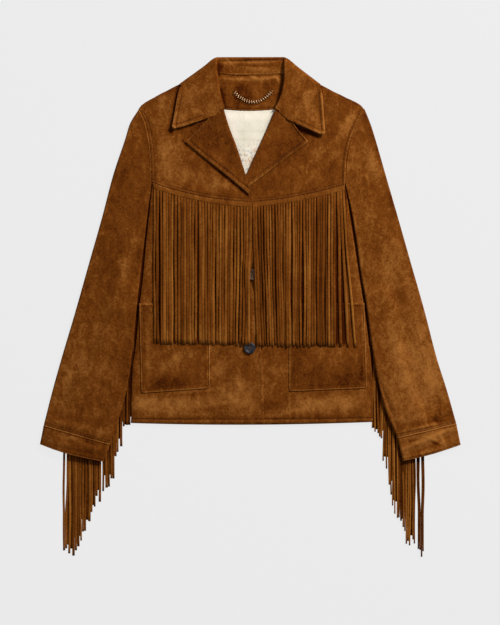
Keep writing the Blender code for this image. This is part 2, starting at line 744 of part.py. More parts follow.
def collar_profile(side, section):
    """Ten points of one collar section: seam, stand, roll, fall and outer edge."""
    angle, seam, roll, edge = section
    centre = Vector(roll)
    reach = Vector((edge[0] - roll[0], edge[1] - roll[1], 0.0)).normalized()
    across = Vector((side * 0.6 * math.sin(angle), 0.8 * math.sin(angle), math.cos(angle)))
    half = ROLL_HALF
    points = [Vector(seam)]
    stand = centre - across * half + reach * half
    points.append((Vector(seam) + stand) / 2.0)
    points.append(stand)
    points.append(centre - across * half * 0.7 + reach * half * 0.25)
    points.append(centre)
    points.append(centre + across * half * 0.7 + reach * half * 0.25)
    fall = centre + across * half + reach * half
    points.append(fall)
    for t in (0.33, 0.66):
        point = fall.lerp(Vector(edge), t)
        points.append(point)
    points.append(Vector(edge))
    return points


def make_collar_side(side):
    """Collar leaf with its fold over the shoulder."""
    table = [collar_profile(side, section) for section in collar_sections(side)]
    if side > 0:
        table = table[::-1]

    def place(column, row):
        return table[row][column]

    obj = grid_object("collar_" + side_name(side), len(table[0]) - 1, len(table) - 1, place, SUEDE_MATERIAL)
    thicken(obj, DOUBLE_WALL, 0.0).modifiers["wall"].use_even_offset = False


def make_collar_back():
    """Back of the collar: stand that shows inside the neck, fold and fall beneath the back."""
    data = COLLAR_BACK
    count = data["steps"]
    start = collar_sections(-1)[-1]
    end = collar_sections(1)[-1]
    table = []
    for index in range(count + 1):
        t = index / count
        dip = 1.0 - (2.0 * t - 1.0) ** 2
        seam, roll, edge = [list(mix(p, q, t)) for p, q in zip(start[1:], end[1:])]
        seam[1] -= data["seam_dip"] * min(1.0, dip * 1.5)
        edge[1] -= (edge[1] - data["fall_y"]) * min(1.0, dip * 1.2)
        end_gap = data["end_gap"] * ((index == 0) - (index == count))
        for point in (seam, roll, edge):
            point[0] += end_gap
        table.append(collar_profile(-1, (math.pi, seam, roll, edge)))

    def place(column, row):
        return table[row][column]

    obj = grid_object("collar_back", len(table[0]) - 1, count, place, SUEDE_MATERIAL)
    thicken(obj, DOUBLE_WALL, 0.0).modifiers["wall"].use_even_offset = False


def material(name, colour, roughness, metallic=0.0):
    """Principled material."""
    made = bpy.data.materials.new(name)
    made.use_nodes = True
    shader = made.node_tree.nodes["Principled BSDF"]
    shader.inputs["Base Color"].default_value = colour
    shader.inputs["Roughness"].default_value = roughness
    shader.inputs["Metallic"].default_value = metallic
    made.diffuse_color = colour
    return made


for old in list(bpy.data.objects):
    bpy.data.objects.remove(old, do_unlink=True)
PARTS = bpy.data.collections.new("fringed_suede_jacket")
bpy.context.scene.collection.children.link(PARTS)
SUEDE_MATERIAL = material("suede", SUEDE, 0.95)
DARK_MATERIAL = material("suede_fringe", SUEDE_DARK, 0.95)
CREAM_MATERIAL = material("lining", CREAM, 0.6)
HORN_MATERIAL = material("horn", HORN, 0.35)
STEEL_MATERIAL = material("steel", STEEL, 0.3, 1.0)

make_back()
make_inside()
make_chain()
make_collar_back()
for each_side in (-1, 1):
    make_yoke(each_side)
    make_front(each_side)
    make_pocket(each_side)
    make_sleeve(each_side)
    make_cuff(each_side)
    make_chest_fringe(each_side)
    make_sleeve_fringe(each_side)
    make_lapel(each_side)
    make_collar_side(each_side)
for button_name, button_place in BUTTONS.items():
    make_button(button_name, button_place)
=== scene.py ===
"""Fringed suede jacket laid flat: fine suede shells, fringe, topstitching, horn buttons and chain."""
import math

import bpy
import numpy as np
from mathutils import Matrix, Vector


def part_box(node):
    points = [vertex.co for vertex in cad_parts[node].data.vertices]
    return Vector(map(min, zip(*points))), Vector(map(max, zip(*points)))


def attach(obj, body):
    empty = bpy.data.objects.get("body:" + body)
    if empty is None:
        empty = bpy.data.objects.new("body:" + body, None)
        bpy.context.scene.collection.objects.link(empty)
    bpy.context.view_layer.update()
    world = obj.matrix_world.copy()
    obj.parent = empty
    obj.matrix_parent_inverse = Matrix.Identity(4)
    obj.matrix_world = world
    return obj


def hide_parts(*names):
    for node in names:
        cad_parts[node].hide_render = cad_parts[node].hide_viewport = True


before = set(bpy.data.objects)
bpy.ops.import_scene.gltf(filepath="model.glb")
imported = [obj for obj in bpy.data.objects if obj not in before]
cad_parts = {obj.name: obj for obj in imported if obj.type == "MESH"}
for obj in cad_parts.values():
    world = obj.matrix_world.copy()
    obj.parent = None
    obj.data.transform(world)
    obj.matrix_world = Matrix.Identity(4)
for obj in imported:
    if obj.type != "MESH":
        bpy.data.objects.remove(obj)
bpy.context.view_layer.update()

MM = 0.001

# Walls, gaps and rises of the solids that the skins follow.
WALL = 1.8
DOUBLE_WALL = 2.0
TRIM_WALL = 1.4
LINING_WALL = 1.0
FACING_WALL = 1.2
GAP = 0.3
FRINGE_GAP = 0.5
LAYER_GAP = 0.5
PUFF = 1.4
ROLL = 26.0
COLLAR_LIFT = 2.4
COLLAR_FADE = 55.0
LAP_LIFT = 2.1
LAP_WIDTH = 30.0
LAP_FADE = 45.0
LAP_TOP = 236.0
SIDE_INSET = 2.0
FRINGE_LIFT = 2.7
FRINGE_MARGIN = 16.0
FRINGE_FADE = 26.0
SLEEVE_BULGE = 1.2
ARM_GAP = 0.25
FRONT_TOP = WALL + LAYER_GAP + PUFF + WALL
SLEEVE_HEIGHT = FRONT_TOP
BUTTON_RADIUS = 10.3
BUTTON_HEIGHT = 3.2
COLLAR_RISE = 3.5
ROLL_HALF = 2.2

# Real thickness of the skins.
SKIN = 1.3
THIN_SKIN = 1.0
COLLAR_SKIN = 1.7
CLOTH = 0.7

# Rows of topstitching, from the edge beside them.
YOKE_STITCHES = (2.2, 7.5)
ARM_STITCH = 5.5
HEM_STITCH = 7.5
BACK_HEM_STITCH = 14.0
FRONT_STITCH = 5.0
TRIM_STITCH = 2.4
MOUTH_STITCH = 16.0
FACING_STITCH = 3.0
ELBOW_STITCH = 4.0
COLLAR_STITCH = 7.0
STAND_STITCH = 25.0

# Distance given to points that are beside no edge or thread.
FAR = 60.0

# Outline of the body: x, y.
SHOULDERS = {
    -1: [(-201.4, 354.3), (-190.2, 361.8), (-174.5, 374.6), (-154, 387.5), (-134, 397.5), (-121, 404.5),
         (-80, 421)],
    1: [(204, 355.8), (191, 362.8), (173, 374), (152, 387), (131, 397), (120, 404), (80, 420)],
}
SIDES = {
    -1: [(-178, 221), (-183, 171), (-189, 119), (-195, 54), (-201, 4), (-208, -70), (-213, -108),
         (-214, -133), (-213, -176), (-215, -209)],
    1: [(171, 218), (184, 149), (193, 83), (206, 5), (213, -46), (219, -97), (221, -133),
        (221, -185), (221, -207)],
}
HEM = [(-215, -209), (-110, -211.5), (3, -209), (110, -210.7), (221, -207)]
CENTRE_FRONT = [(1, 198), (3, 184), (10, 103), (18, -70), (21.8, -97), (25.2, -212)]
ARMHOLES = {
    -1: dict(top=(-201, 354), under=(-178, 221), bow=9.5, lean=0.7),
    1: dict(top=(205, 356), under=(172, 218), bow=11.5, lean=1),
}
ARM_STEPS = (0.03, 0.12, 0.22, 0.33, 0.44, 0.56, 0.68, 0.8, 0.9, 0.97)
YOKE_INNER = {
    -1: [(-55, 356), (-30, 278), (-7, 213)],
    1: [(54, 356), (27, 278), (10, 240), (-8, 216)],
}
YOKE_SHOULDER = {
    -1: [((-84, 418.5), (-73, 416)), ((-121, 404.3), (-69, 403)), ((-134, 397.3), (-67, 397)),
         ((-175, 376), (-61, 376))],
    1: [((84, 418), (73, 414)), ((120, 403.8), (69, 403)), ((131, 396.8), (67, 397)),
        ((174, 376), (60, 376))],
}
YOKE_SEAM = {
    -1: dict(arm=(-176.5, 221.5), centre=(2.5, 187), bow=7),
    1: dict(arm=(171, 218.5), centre=(-27, 185.5), bow=6.5),
}
FRONT_ROWS = [(171, 150), (119, 103), (54, 48), (4, 0), (-70, -70), (-108, -106), (-150, -149),
              (-190, -192), (-200, -204)]
POCKETS = {
    -1: dict(top=((-200, 6), (-73, 7)), foot=((-196, -155), (-73, -146))),
    1: dict(top=((70, 7), (205, 7)), foot=((70, -152), (210, -146))),
}
BUTTONS = {"button_upper": (3, 58), "button_lower": (-1, -74)}
BACK_NECK = dict(left=(-80, 420), right=(80, 420), drop=6)
FACING = dict(top=421, foot=358, left=-60, right=58, bow=4.6)
LINING = dict(top=357.5, foot=205, left=-62, right=58, foot_left=-40, foot_right=28)
CHAIN = dict(left=(-27.5, 385.5), right=(37, 385.5), sag=17)
SLEEVES = {
    -1: [((-201, 354), (-178, 221), 9.5), ((-217, 330), (-180.6, 202.3), 7.8),
         ((-225, 304), (-183.5, 182), 6),
         ((-247, 238), (-190, 128), 3), ((-267, 162), (-197.5, 63), 0),
         ((-290, 81), (-204.5, 0), 0), ((-316, -11), (-211, -68), 0),
         ((-340, -92), (-219, -131), 0), ((-356, -149), (-231, -182), 0),
         ((-372, -212), (-252, -246), 0)],
    1: [((205, 356), (172, 218), 11.5), ((216.7, 330), (176.2, 200), 9.2),
        ((225, 304), (180.5, 182), 7),
        ((244, 238), (190, 128), 3), ((266, 162), (199, 63), 0),
        ((289, 81), (209.5, 0), 0), ((314, -7), (218.5, -68), 0),
        ((336, -92), (229.5, -131), 0), ((354, -149), (242.5, -182), 0),
        ((371, -209), (264, -234), 0)],
}
CUFFS = {
    -1: [((-372.2, -212.7), (-252.2, -246.7)), ((-379, -247), (-264, -278))],
    1: [((371.2, -209.7), (264.2, -234.7)), ((379, -248), (275, -277))],
}
CUFF_BOW = {-1: -3.4, 1: -2}
CHEST_FRINGE = {
    -1: dict(count=33, start=-172, end=0, tip_start=-66, tip_end=-68,
             centre_drift=-3.2, side_drift=1, seed=4),
    1: dict(count=33, start=5.5, end=167.5, tip_start=-71, tip_end=-71,
            centre_drift=8, side_drift=9, seed=9),
}
CHEST_OPENINGS = {-1: [(-164, 60), (-98, 130), (-64, 20)],
                  1: [(132.7, 40), (58, 90), (96, 0)]}
SLEEVE_ROOTS = {
    -1: [(-336, -220), (-308, -212), (-292, -153), (-271, -115), (-249, -83), (-221, 13)],
    1: [(226, 7), (241, -50), (255, -117), (269, -166), (287, -205), (313, -225)],
}
SLEEVE_TIPS = {
    -1: [(-335, -446), (-323, -438), (-319, -448), (-312, -420), (-309, -437), (-301, -401), (-296, -402),
         (-290, -380), (-285, -360), (-279, -351), (-272, -347), (-266, -338), (-257, -329), (-251, -312),
         (-245, -304), (-242, -262), (-235, -271), (-230, -238), (-224, -213), (-218, -225),
         (-214.5, -212), (-212, -196)],
    1: [(218.5, -196), (221, -206), (224, -216), (228, -221), (232, -229), (237, -236), (242, -277),
        (247, -317), (253, -342), (256, -367), (262, -374), (271, -391), (279, -412), (286, -430),
        (296, -418), (303, -445),
        (314, -450)],
}
SLEEVE_STRANDS = 26
FRINGE_ENDS = {-1: (-335, -211.6), 1: (218.6, 312)}
FRINGE_OPENINGS = {-1: ((-331.5, 1.1, -2), (-268.5, 1.4, 0.3)),
                   1: ((299, 0.9, 1.8), (305.5, 0.6, -1.6))}
# Lighter and darker places in the chest fringe, in the columns of the nap's patches.
CHEST_SHADES = [
    (-120, 60, 90, 90, 26, 0.16), (-60, 40, 90, 90, 30, 0.1), (60, 80, 90, 80, 24, 0.18),
    (120, 40, 90, 90, 20, 0.1), (15, 120, 90, 60, 14, -0.1), (-166, 150, 90, 90, 8, 0.15),
    (-60, 60, 90, 120, 60, -0.12), (-141, 70, 90, 60, 7, 0.3), (-112, 95, 90, 56, 7, -0.4),
    (178, -20, 90, 60, 12, 0.35), (-110, -52, 0, 60, 14, 0.3), (-1.5, 0, 90, 60, 1.8, 1.2),
    (-6.5, -10, 90, 50, 1.6, -1),
]
# Wide soft creases of the sleeves: x, y, direction in degrees, half length, half width, height.
CREASES = [
    (300, -190, 15, 60, 9, 0.9), (318, -222, 12, 55, 8, 0.8), (-315, -60, 70, 90, 22, 0.9),
    (300, -20, 105, 110, 24, 0.9), (-250, 120, 62, 80, 20, 0.8), (262, 110, 118, 80, 20, 0.8),
]
LAPELS = {
    -1: [((-69.3, 346), (-48.6, 359.5), 3), ((-92, 320), (-43, 340), 4),
         ((-117, 297), (-37, 321), 3.8), ((-78, 265), (-25, 290), 3.2),
         ((-40, 235), (-14.5, 258), 2.4), ((-12, 211.5), (-3.5, 222), 1.4),
         ((-3, 203.5), (0.2, 207), 1)],
    1: [((72.3, 338), (47, 359.5), 1.4), ((87, 317), (39, 342), 1.2), ((105, 297.5), (31, 323), 1.1),
        ((72, 273.2), (18, 294), 1.1), ((36, 245.8), (4, 263), 1.1), ((6, 223.4), (-7.5, 237), 1),
        ((-4, 216), (-12, 227), 0.6)],
}
COLLAR = {
    -1: [(0, (-51, 360), (-46.5, 357), (-142, 318)), (0, (-57, 378), (-51, 374), (-137, 345)),
         (0, (-62, 398), (-56, 394), (-131, 378)), (0, (-64, 414), (-59, 418), (-127, 394)),
         (0, (-62, 418), (-60, 433), None), (45, (-60, 419.5), (-60.8, 442.4), None),
         (90, (-57, 420), (-60.4, 446.8), None), (135, (-54, 420), (-57.4, 449), None),
         (180, (-50, 420), (-52, 449.4), None)],
    1: [(0, (49, 360), (44.5, 357), (135, 307)), (0, (59, 378), (53, 375), (132, 345)),
        (0, (63, 398), (59, 396), (130, 376)), (0, (65, 414), (61, 420), (127, 393)),
        (0, (63, 418), (60.5, 434), None), (45, (61, 419.5), (61.3, 442.8), None),
        (90, (58, 420), (61, 447), None), (135, (55, 420), (57.8, 449.2), None),
        (180, (51, 420), (52, 449.5), None)],
}
FOLD_LINE = {-1: ((-60, 450), (-127.5, 402)), 1: ((60, 450), (126.5, 401.5))}
GORGE = {-1: [(-46.5, 357), (-67.5, 342.5), (-142, 317.5)], 1: [(44.5, 357), (69.5, 335.5), (135, 306.5)]}
COLLAR_BACK = dict(seam_dip=2.2, fall_y=376, steps=6)

# Soft ridges across the stand of the collar, in the columns of the creases.
COLLAR_FOLDS = [
    (-4, 436.5, 1, 44, 1.8, 1), (0, 441.5, 0, 50, 1.3, -0.9), (-26, 427, 176, 30, 2.6, -0.6),
    (24, 421.5, 3, 30, 2.2, 0.8), (-22, 418.5, 178, 26, 2, 0.8),
]
# Soft folds of the fronts and yokes, in the same columns.
FRONT_FOLDS = [
    (120, 290, 42, 70, 9, 0.55), (90, 262, 40, 60, 8, -0.45), (150, 300, 60, 45, 8, -0.4),
    (-150, 262, 100, 45, 12, 0.5), (-120, 232, 160, 50, 8, -0.4), (-90, 236, 155, 45, 7, 0.4),
    (60, 222, 12, 50, 7, 0.35), (-60, -120, 35, 40, 9, 0.45), (-110, -95, 40, 45, 8, -0.4),
    (-150, -120, 55, 40, 8, 0.4), (-95, -60, 50, 30, 7, 0.35), (130, -110, 50, 45, 10, 0.45),
    (165, -85, 62, 40, 8, -0.4), (100, -80, 35, 40, 8, -0.3), (120, -172, 3, 60, 6, 0.45),
    (60, -186, 8, 40, 5, -0.4), (-60, -184, 175, 60, 6, 0.4), (-150, -180, 8, 45, 6, -0.35),
    (20, -160, 85, 45, 6, 0.25),
]
# Soft folds of the sleeves, in the same columns.
SLEEVE_FOLDS = [
    (345, -190, 22, 40, 4.5, 1.3), (348, -200, 16, 34, 3.6, -1.1), (318, -214, 12, 45, 3.4, 1.3),
    (330, -178, 30, 34, 5, -1), (262, -150, 112, 70, 7, 0.5), (250, -118, 110, 60, 6, -0.4),
    (320, -110, 62, 45, 10, 0.4), (280, 20, 108, 70, 12, 0.45), (250, 60, 112, 70, 9, -0.35),
    (226, 262, 112, 60, 9, 0.5), (214, 240, 110, 60, 8, -0.45), (232, 150, 108, 60, 9, -0.3),
    (-226, 262, 66, 60, 9, 0.45), (-214, 232, 70, 60, 8, -0.4), (-240, 150, 72, 70, 10, 0.35),
    (-262, 40, 72, 80, 10, -0.35), (-290, -60, 72, 80, 9, 0.4), (-262, -150, 66, 70, 8, -0.4),
    (-330, -170, 62, 45, 7, 0.4), (-300, -218, 166, 45, 3.6, 1.1), (-320, -206, 160, 44, 4.5, -0.8),
    (300, -246, 22, 30, 3.2, 1.5), (328, -246, 26, 28, 3.2, -1.2), (346, -226, 20, 26, 3.2, 1.4),
    (318, -262, 14, 36, 3.4, 1.1), (350, -246, 16, 22, 3, 1), (330, -239, 160, 12, 2.4, 1.3),
    (336, -247, 155, 10, 2.4, -1.1), (346, -240, 115, 9, 2.6, 1.1), (336, -203, 140, 12, 3, -1),
    (352, -190, 42, 16, 3.2, 1), (-332, -248, 164, 36, 3.4, 1), (-292, -262, 168, 34, 3.2, -1),
    (-288, -252, 163, 30, 3, 0.9), (-352, -236, 158, 22, 4, 0.5), (246, -170, 111, 52, 2.6, -1.3),
    (253, -168, 111, 52, 5, 0.5),
]
# Brushed patches of the nap, with painted shade and painted highlights at the collar's rolls, seams, pocket
# edges and wrinkles: x, y, direction in degrees, half length, half width, lighter or darker.
NAP_PATCHES = [
    (-57, 431, 90, 13, 2.6, -1.5), (-49, 374, 104, 20, 2.4, -1.2), (-22, 410.5, -3, 34, 3, 0.9),
    (30, 411.5, 6, 22, 3, 0.8), (-18, 395, 80, 12, 8, -0.5), (-150, 268, 75, 46, 22, 0.5),
    (-118, 240, 165, 46, 14, 0.42), (-60, 222, 170, 44, 12, 0.3), (-115, 345, 30, 40, 20, 0.25),
    (-165, 345, 35, 28, 14, 0.2), (-80, 292, 140, 34, 14, -0.22), (128, 318, 55, 34, 9, 0.25),
    (180, 336, 66, 26, 9, 0.65), (140, 262, 40, 40, 9, 0.3), (60, 232, 25, 40, 12, 0.22),
    (85, 345, 60, 30, 16, 0.22), (-60, -118, 40, 34, 12, 0.4), (-112, -98, 35, 26, 9, 0.1),
    (-165, -130, 60, 22, 12, -0.3), (-130, -60, 30, 30, 16, -0.28), (-40, -150, 5, 60, 14, 0.28),
    (-150, -178, 5, 50, 12, 0.22), (158, -88, 60, 22, 9, 0.5), (90, -110, 80, 20, 12, -0.3),
    (170, -130, 30, 34, 14, -0.32), (60, -60, 5, 40, 12, -0.25), (130, -172, 5, 60, 10, 0.4),
    (40, -176, 20, 22, 8, -0.35), (222, 262, 110, 46, 10, 0.45), (262, 180, 112, 60, 14, -0.12),
    (250, 80, 70, 40, 16, 0.3), (300, 20, 110, 44, 14, 0.3), (262, -60, 105, 50, 12, 0.35),
    (322, -80, 100, 60, 16, 0.3), (300, -150, 60, 30, 14, -0.2), (340, -190, 20, 40, 8, -0.4),
    (290, -200, 8, 40, 9, 0.3), (-240, 240, 68, 60, 14, -0.1), (-222, 90, 75, 70, 12, 0.25),
    (-262, 0, 72, 80, 18, 0.12), (-330, -120, 66, 60, 14, 0.25), (-280, -190, 60, 40, 14, 0.22),
    (-245, -110, 72, 60, 8, 0.25), (-30, 404, 10, 30, 12, 0.1), (20, 430, 0, 46, 6, 0.4),
    (100, 372, 60, 24, 10, 0.28), (-100, 380, 45, 26, 12, 0.2), (-112, -176, 2, 96, 20, 0.45),
    (128, -180, 3, 84, 14, 0.2), (330, -100, 112, 90, 34, 0.32), (318, -232, 12, 44, 24, 0.45),
    (-318, -130, 70, 90, 36, 0.3), (-318, -236, 165, 50, 20, 0.2), (-132, -134, 4, 56, 10, -0.5),
    (132, -132, 2, 60, 14, -0.3), (-60, 300, 135, 46, 20, -0.3), (70, 290, 45, 46, 20, -0.25),
    (140, 290, 47, 60, 9, 0.4), (156, 268, 47, 26, 7, -0.3), (54, 229, 20, 34, 9, -0.35),
    (-62, 212, 170, 22, 8, 0.3), (-162, 363, 30, 26, 14, 0.35), (232, 292, 112, 90, 14, -0.3),
    (296, -140, 112, 60, 34, 0.5), (196, 60, 97, 110, 7, 0.5), (-188, -168, 0, 20, 14, 0.35),
    (-12, -186, 140, 30, 9, 0.35), (-100, -157, 3, 44, 4, -0.5), (-140, -62, 60, 34, 10, 0.4),
    (-250, -60, 72, 110, 10, 0.3), (-226, 60, 72, 50, 8, 0.3), (-300, -90, 72, 100, 30, 0.15),
    (-262, -225, 70, 26, 9, 0.4), (-290, -262, 165, 40, 7, -0.4), (300, -214, 14, 40, 8, -0.35),
    (300, -245, 22, 30, 3, 0.5), (330, -247, 26, 28, 3.2, -0.55), (346, -225, 20, 26, 3, 0.45),
    (318, -261, 14, 34, 3, 0.35), (318, -213, 12, 42, 2.6, 0.5), (345, -200, 16, 30, 3, -0.5),
    (-332, -248, 164, 34, 3, 0.35), (-300, -217, 166, 44, 3, 0.4), (36, 417, 8, 24, 6, 0.45),
    (-34, 428, 172, 22, 6, -0.35), (8, 441.3, 1, 52, 1.6, 0.8), (10, 445.2, 1, 48, 1.2, -1.3),
    (-37, 441, 132, 10, 1.4, 0.9), (-15, 445, 128, 6, 1.3, 0.9), (0, 433, 0, 90, 16, -0.2),
    (-4, 419.6, 1, 50, 1.8, 0.5), (5, 414.5, 160, 9, 2.2, 1.1), (50, 410, 120, 7, 3, 1.1),
    (20, 426, 178, 40, 2.4, 0.4), (-52, 430, 90, 12, 4, -0.7), (0, 434, 0, 40, 2, -0.4),
    (20, 400, 85, 9, 3, 0.7), (-8, 376, 0, 30, 5, -0.35), (-20, 433, 176, 34, 2.4, 0.3),
    (30, 366, 170, 26, 7, 0.3), (-190, -172, 20, 20, 8, 0.35), (-70, -184, 8, 30, 5, -0.4),
    (-18, -170, 160, 26, 6, 0.4), (28, -178, 80, 18, 8, -0.45), (90, -186, 5, 44, 5, 0.35),
    (170, -176, 100, 22, 9, 0.4), (-104, -200, 1, 90, 3, -0.4), (110, -199, 2, 90, 3, -0.35),
    (-186, -88, 88, 50, 4, 0.4), (-80, -90, 60, 22, 4, 0.4), (-104, -118, 88, 26, 2.6, 0.35),
    (-92, -112, 86, 22, 2.2, -0.35), (-144, -101, 42, 34, 8, 0.5), (100, -84, 130, 24, 7, -0.3),
    (112, -116, 30, 26, 7, -0.35), (-20, -130, 85, 34, 5, 0.35), (-46, -108, 80, 24, 5, -0.3),
    (-187, 5, 0, 14, 1.8, 0.6), (190, 5.6, 0, 14, 1.8, 0.6), (-6, -102, 90, 30, 6, -0.3),
    (327, -238, 162, 12, 2.4, 1), (334, -246, 155, 9, 2.4, -1), (346, -240, 115, 9, 2.8, 0.8),
    (292, -240, 10, 14, 2.4, -0.7), (305, -266, 120, 8, 3.2, -0.6), (333, -204, 140, 11, 3.2, -0.9),
    (352, -205, 12, 13, 2, -1.1), (350, -189, 42, 15, 3, 0.8), (342, -194, 42, 14, 2.6, -0.6),
    (-283, -238, 160, 22, 5, -0.5), (-322, -236, 166, 20, 3.4, 0.4), (-282, -246, 160, 22, 4, -0.4),
    (-272, -230, 70, 14, 3, 0.5),
]

# Distances from an edge at which a skin has points; past them they are SPACING apart.
EDGE_STATIONS = (0.0, 0.35, 1.0, 2.0, 3.2, 4.6, 6.0, 7.4, 9.0, 12.0, 17.0)
SPACING = 4.2
RIM = 0.35

stitch_paths = []
thread_paths = []


# ---------------------------------------------------------------- numbers and curves

def ease(value):
    """Smooth step from 0 to 1."""
    t = np.clip(value, 0.0, 1.0)
    return t * t * (3.0 - 2.0 * t)


def bell(away, width):
    """Soft peak of 1 where away is 0."""
    return np.exp(-(away / width) ** 2)


def fade(away, width):
    """1 at distance 0, dying away over a width."""
    return np.exp(-away / width)


def points_of(x, y, z):
    """Points from three coordinates."""
    return np.stack([x, y, z], axis=-1)


def xy(points):
    """The two flat coordinates of points."""
    return points[..., 0], points[..., 1]


def mix(a, b, t):
    """Point between two points."""
    return tuple(p + (q - p) * t for p, q in zip(a, b))


def share_of(path, t):
    """Point at share t of a polyline's length."""
    points = np.array(path, float)
    lengths = np.concatenate([[0.0], np.cumsum(np.linalg.norm(np.diff(points, axis=0), axis=1))])
    at = t * lengths[-1]
    return (np.interp(at, lengths, points[:, 0]), np.interp(at, lengths, points[:, 1]))


def value_at(path, x):
    """Second coordinate of a polyline at its first coordinate x."""
    points = np.array(sorted(path), float)
    return np.interp(x, points[:, 0], points[:, 1])


def x_at(path, y):
    """First coordinate of a polyline at height y."""
    return value_at([(q, p) for p, q in path], y)


def reach(path, x, y):
    """Distance from points to a polyline."""
    best = np.full(np.shape(x), 1e9)
    for (x0, y0), (x1, y1) in zip(path, path[1:]):
        dx, dy = x1 - x0, y1 - y0
        t = np.clip(((x - x0) * dx + (y - y0) * dy) / (dx * dx + dy * dy), 0.0, 1.0)
        best = np.minimum(best, np.hypot(x - x0 - dx * t, y - y0 - dy * t))
    return best


def between(table, at):
    """Rows between the rows of a table, on smooth curves that don't overshoot.

    The first column is the station of each row.
    """
    station, values = table[:, 0], table[:, 1:]
    span = np.diff(station)[:, None]
    slope = np.diff(values, axis=0) / span
    tangent = np.zeros_like(values)
    tangent[0], tangent[-1] = slope[0], slope[-1]
    before, after = slope[:-1], slope[1:]
    same = before * after > 0.0
    total = np.where(same, before + after, 1.0)
    tangent[1:-1] = np.where(same, 2.0 * before * after / total, 0.0)
    index = np.clip(np.searchsorted(station, at, side="right") - 1, 0, len(station) - 2)
    h = span[index]
    t = ((at - station[index])[:, None]) / h
    rise = t * t * (3.0 - 2.0 * t)
    start = t * (1.0 - t) ** 2
    end = t * t * (t - 1.0)
    first, last = values[index], values[index + 1]
    return first + (last - first) * rise + (tangent[index] * start + tangent[index + 1] * end) * h


def chords(points):
    """Running length along a row of points."""
    return np.concatenate([[0.0], np.cumsum(np.linalg.norm(np.diff(points, axis=0), axis=1))])


def stations(total, spacing=SPACING, near=EDGE_STATIONS):
    """Distances from one edge to the other, close together near both."""
    near = np.array(near) * min(1.0, total / (2.6 * near[-1]))
    inner = total - 2.0 * near[-1]
    count = max(2, round(inner / spacing))
    middle = near[-1] + inner * np.arange(1, count) / count
    return np.concatenate([near, middle, total - near[::-1]])


def bump_sum(table, x, y):
    """Sum of soft oval bumps at points."""
    total = np.zeros(np.shape(x))
    for cx, cy, turn, length, width, height in table:
        ca, sa = math.cos(math.radians(turn)), math.sin(math.radians(turn))
        run = (x - cx) * ca + (y - cy) * sa
        off = -(x - cx) * sa + (y - cy) * ca
        total = total + height * np.exp(-(run / length) ** 2 - (off / width) ** 2)
    return total


def ripple(x, y, seed, height=0.12, longest=120.0):
    """Slow unevenness of a skin that has been worn."""
    rng = np.random.default_rng(seed)
    total = np.zeros(np.shape(x))
    for _ in range(9):
        wave = longest * rng.uniform(0.3, 1.0)
        turn = rng.uniform(0.0, math.pi)
        phase = rng.uniform(0.0, 2.0 * math.pi)
        total = total + np.sin((x * math.cos(turn) + y * math.sin(turn)) * 2.0 * math.pi / wave + phase)
    return total * height / 3.0


# ---------------------------------------------------------------- heights

def fall_depth(x, y):
    """How far outside the area of the collar's fall a point lies."""
    lower = [FOLD_LINE[-1][1], (-96, 380), (0, 375), (96, 380), FOLD_LINE[1][1]]
    below = value_at(lower, x) - y
    beyond = np.abs(x) - np.where(x < 0, -FOLD_LINE[-1][1][0], FOLD_LINE[1][1][0])
    return np.maximum(np.maximum(below, beyond), 0.0)


def back_lift(x, y):
    """Rise of the back panel over the collar's fall."""
    return COLLAR_LIFT * (1.0 - ease((fall_depth(x, y) - 10.0) / COLLAR_FADE))


def from_outline(x, y):
    """Distance from the shoulders, sides and hem."""
    paths = (*SHOULDERS.values(), *SIDES.values(), HEM)
    return np.minimum.reduce([reach(path, x, y) for path in paths])


def edge_puff(x, y):
    """Air under the fronts: none at the rolled edges, PUFF in the middle."""
    near = np.clip(from_outline(x, y) / ROLL, 0.0, 1.0)
    return PUFF * np.sqrt(1.0 - (1.0 - near) ** 2)


def lap_lift(x, y):
    """Rise of the wearer's right front over the other one, below the break of the lapels."""
    centre = x_at(CENTRE_FRONT, y)
    below = 1.0 - ease((y - LAP_TOP) / LAP_FADE)
    return LAP_LIFT * below * ease((x - centre + LAP_WIDTH + 8.0 + LAP_FADE) / LAP_FADE)


def front_top(side, x, y):
    """Face of a front or yoke, without its folds."""
    z = 2.0 * WALL + LAYER_GAP + back_lift(x, y) + edge_puff(x, y)
    return z + lap_lift(x, y) if side < 0 else z


def folds(x, y):
    """Folds and unevenness of the fronts, fading out at the rolled edges."""
    return (bump_sum(FRONT_FOLDS, x, y) + ripple(x, y, 3)) * ease(from_outline(x, y) / 20.0)


def draped(side, x, y):
    """Face of a front or yoke with its folds."""
    return front_top(side, x, y) + folds(x, y)


def over_back(x, y):
    """Underside of what lies on the back panel."""
    return back_lift(x, y) + WALL + GAP


def sleeve_lift(side, x, y):
    """Rise of a sleeve over the fringe that hangs under it."""
    roots = SLEEVE_ROOTS[side]
    xs = [p[0] for p in roots]
    foot = [(xs[0], roots[0][1]), (xs[0], -300), (xs[-1], -300), (xs[-1], roots[-1][1])]
    away = np.minimum(reach(roots, x, y), reach(foot, x, y))
    inside = (x >= min(xs)) & (x <= max(xs)) & (y <= value_at(roots, x))
    return FRINGE_LIFT * (1.0 - ease((np.where(inside, 0.0, away) - FRINGE_MARGIN) / FRINGE_FADE))


def armhole(side, t):
    """Point of the armhole seam, from the shoulder at 0 to the underarm at 1."""
    data = ARMHOLES[side]
    offset = -side * data["bow"] * math.sin(math.pi * t ** data["lean"])
    return bowed(data["top"], data["under"], t, offset)


def bowed(start, end, t, offset):
    """Point between two ends, moved sideways from the line."""
    x, y = mix(start, end, t)
    dx, dy = end[0] - start[0], end[1] - start[1]
    length = math.hypot(dx, dy)
    return (x - dy / length * offset, y + dx / length * offset)


# ---------------------------------------------------------------- meshes

def outward(points, quads):
    """Quads of a closed skin, turned to face outwards."""
    a, b, c, d = points[quads].transpose(1, 0, 2)
    volume = np.einsum("ij,ij->i", a, np.cross(b, c)).sum() + np.einsum("ij,ij->i", a, np.cross(c, d)).sum()
    return quads[:, ::-1] if volume < 0.0 else quads


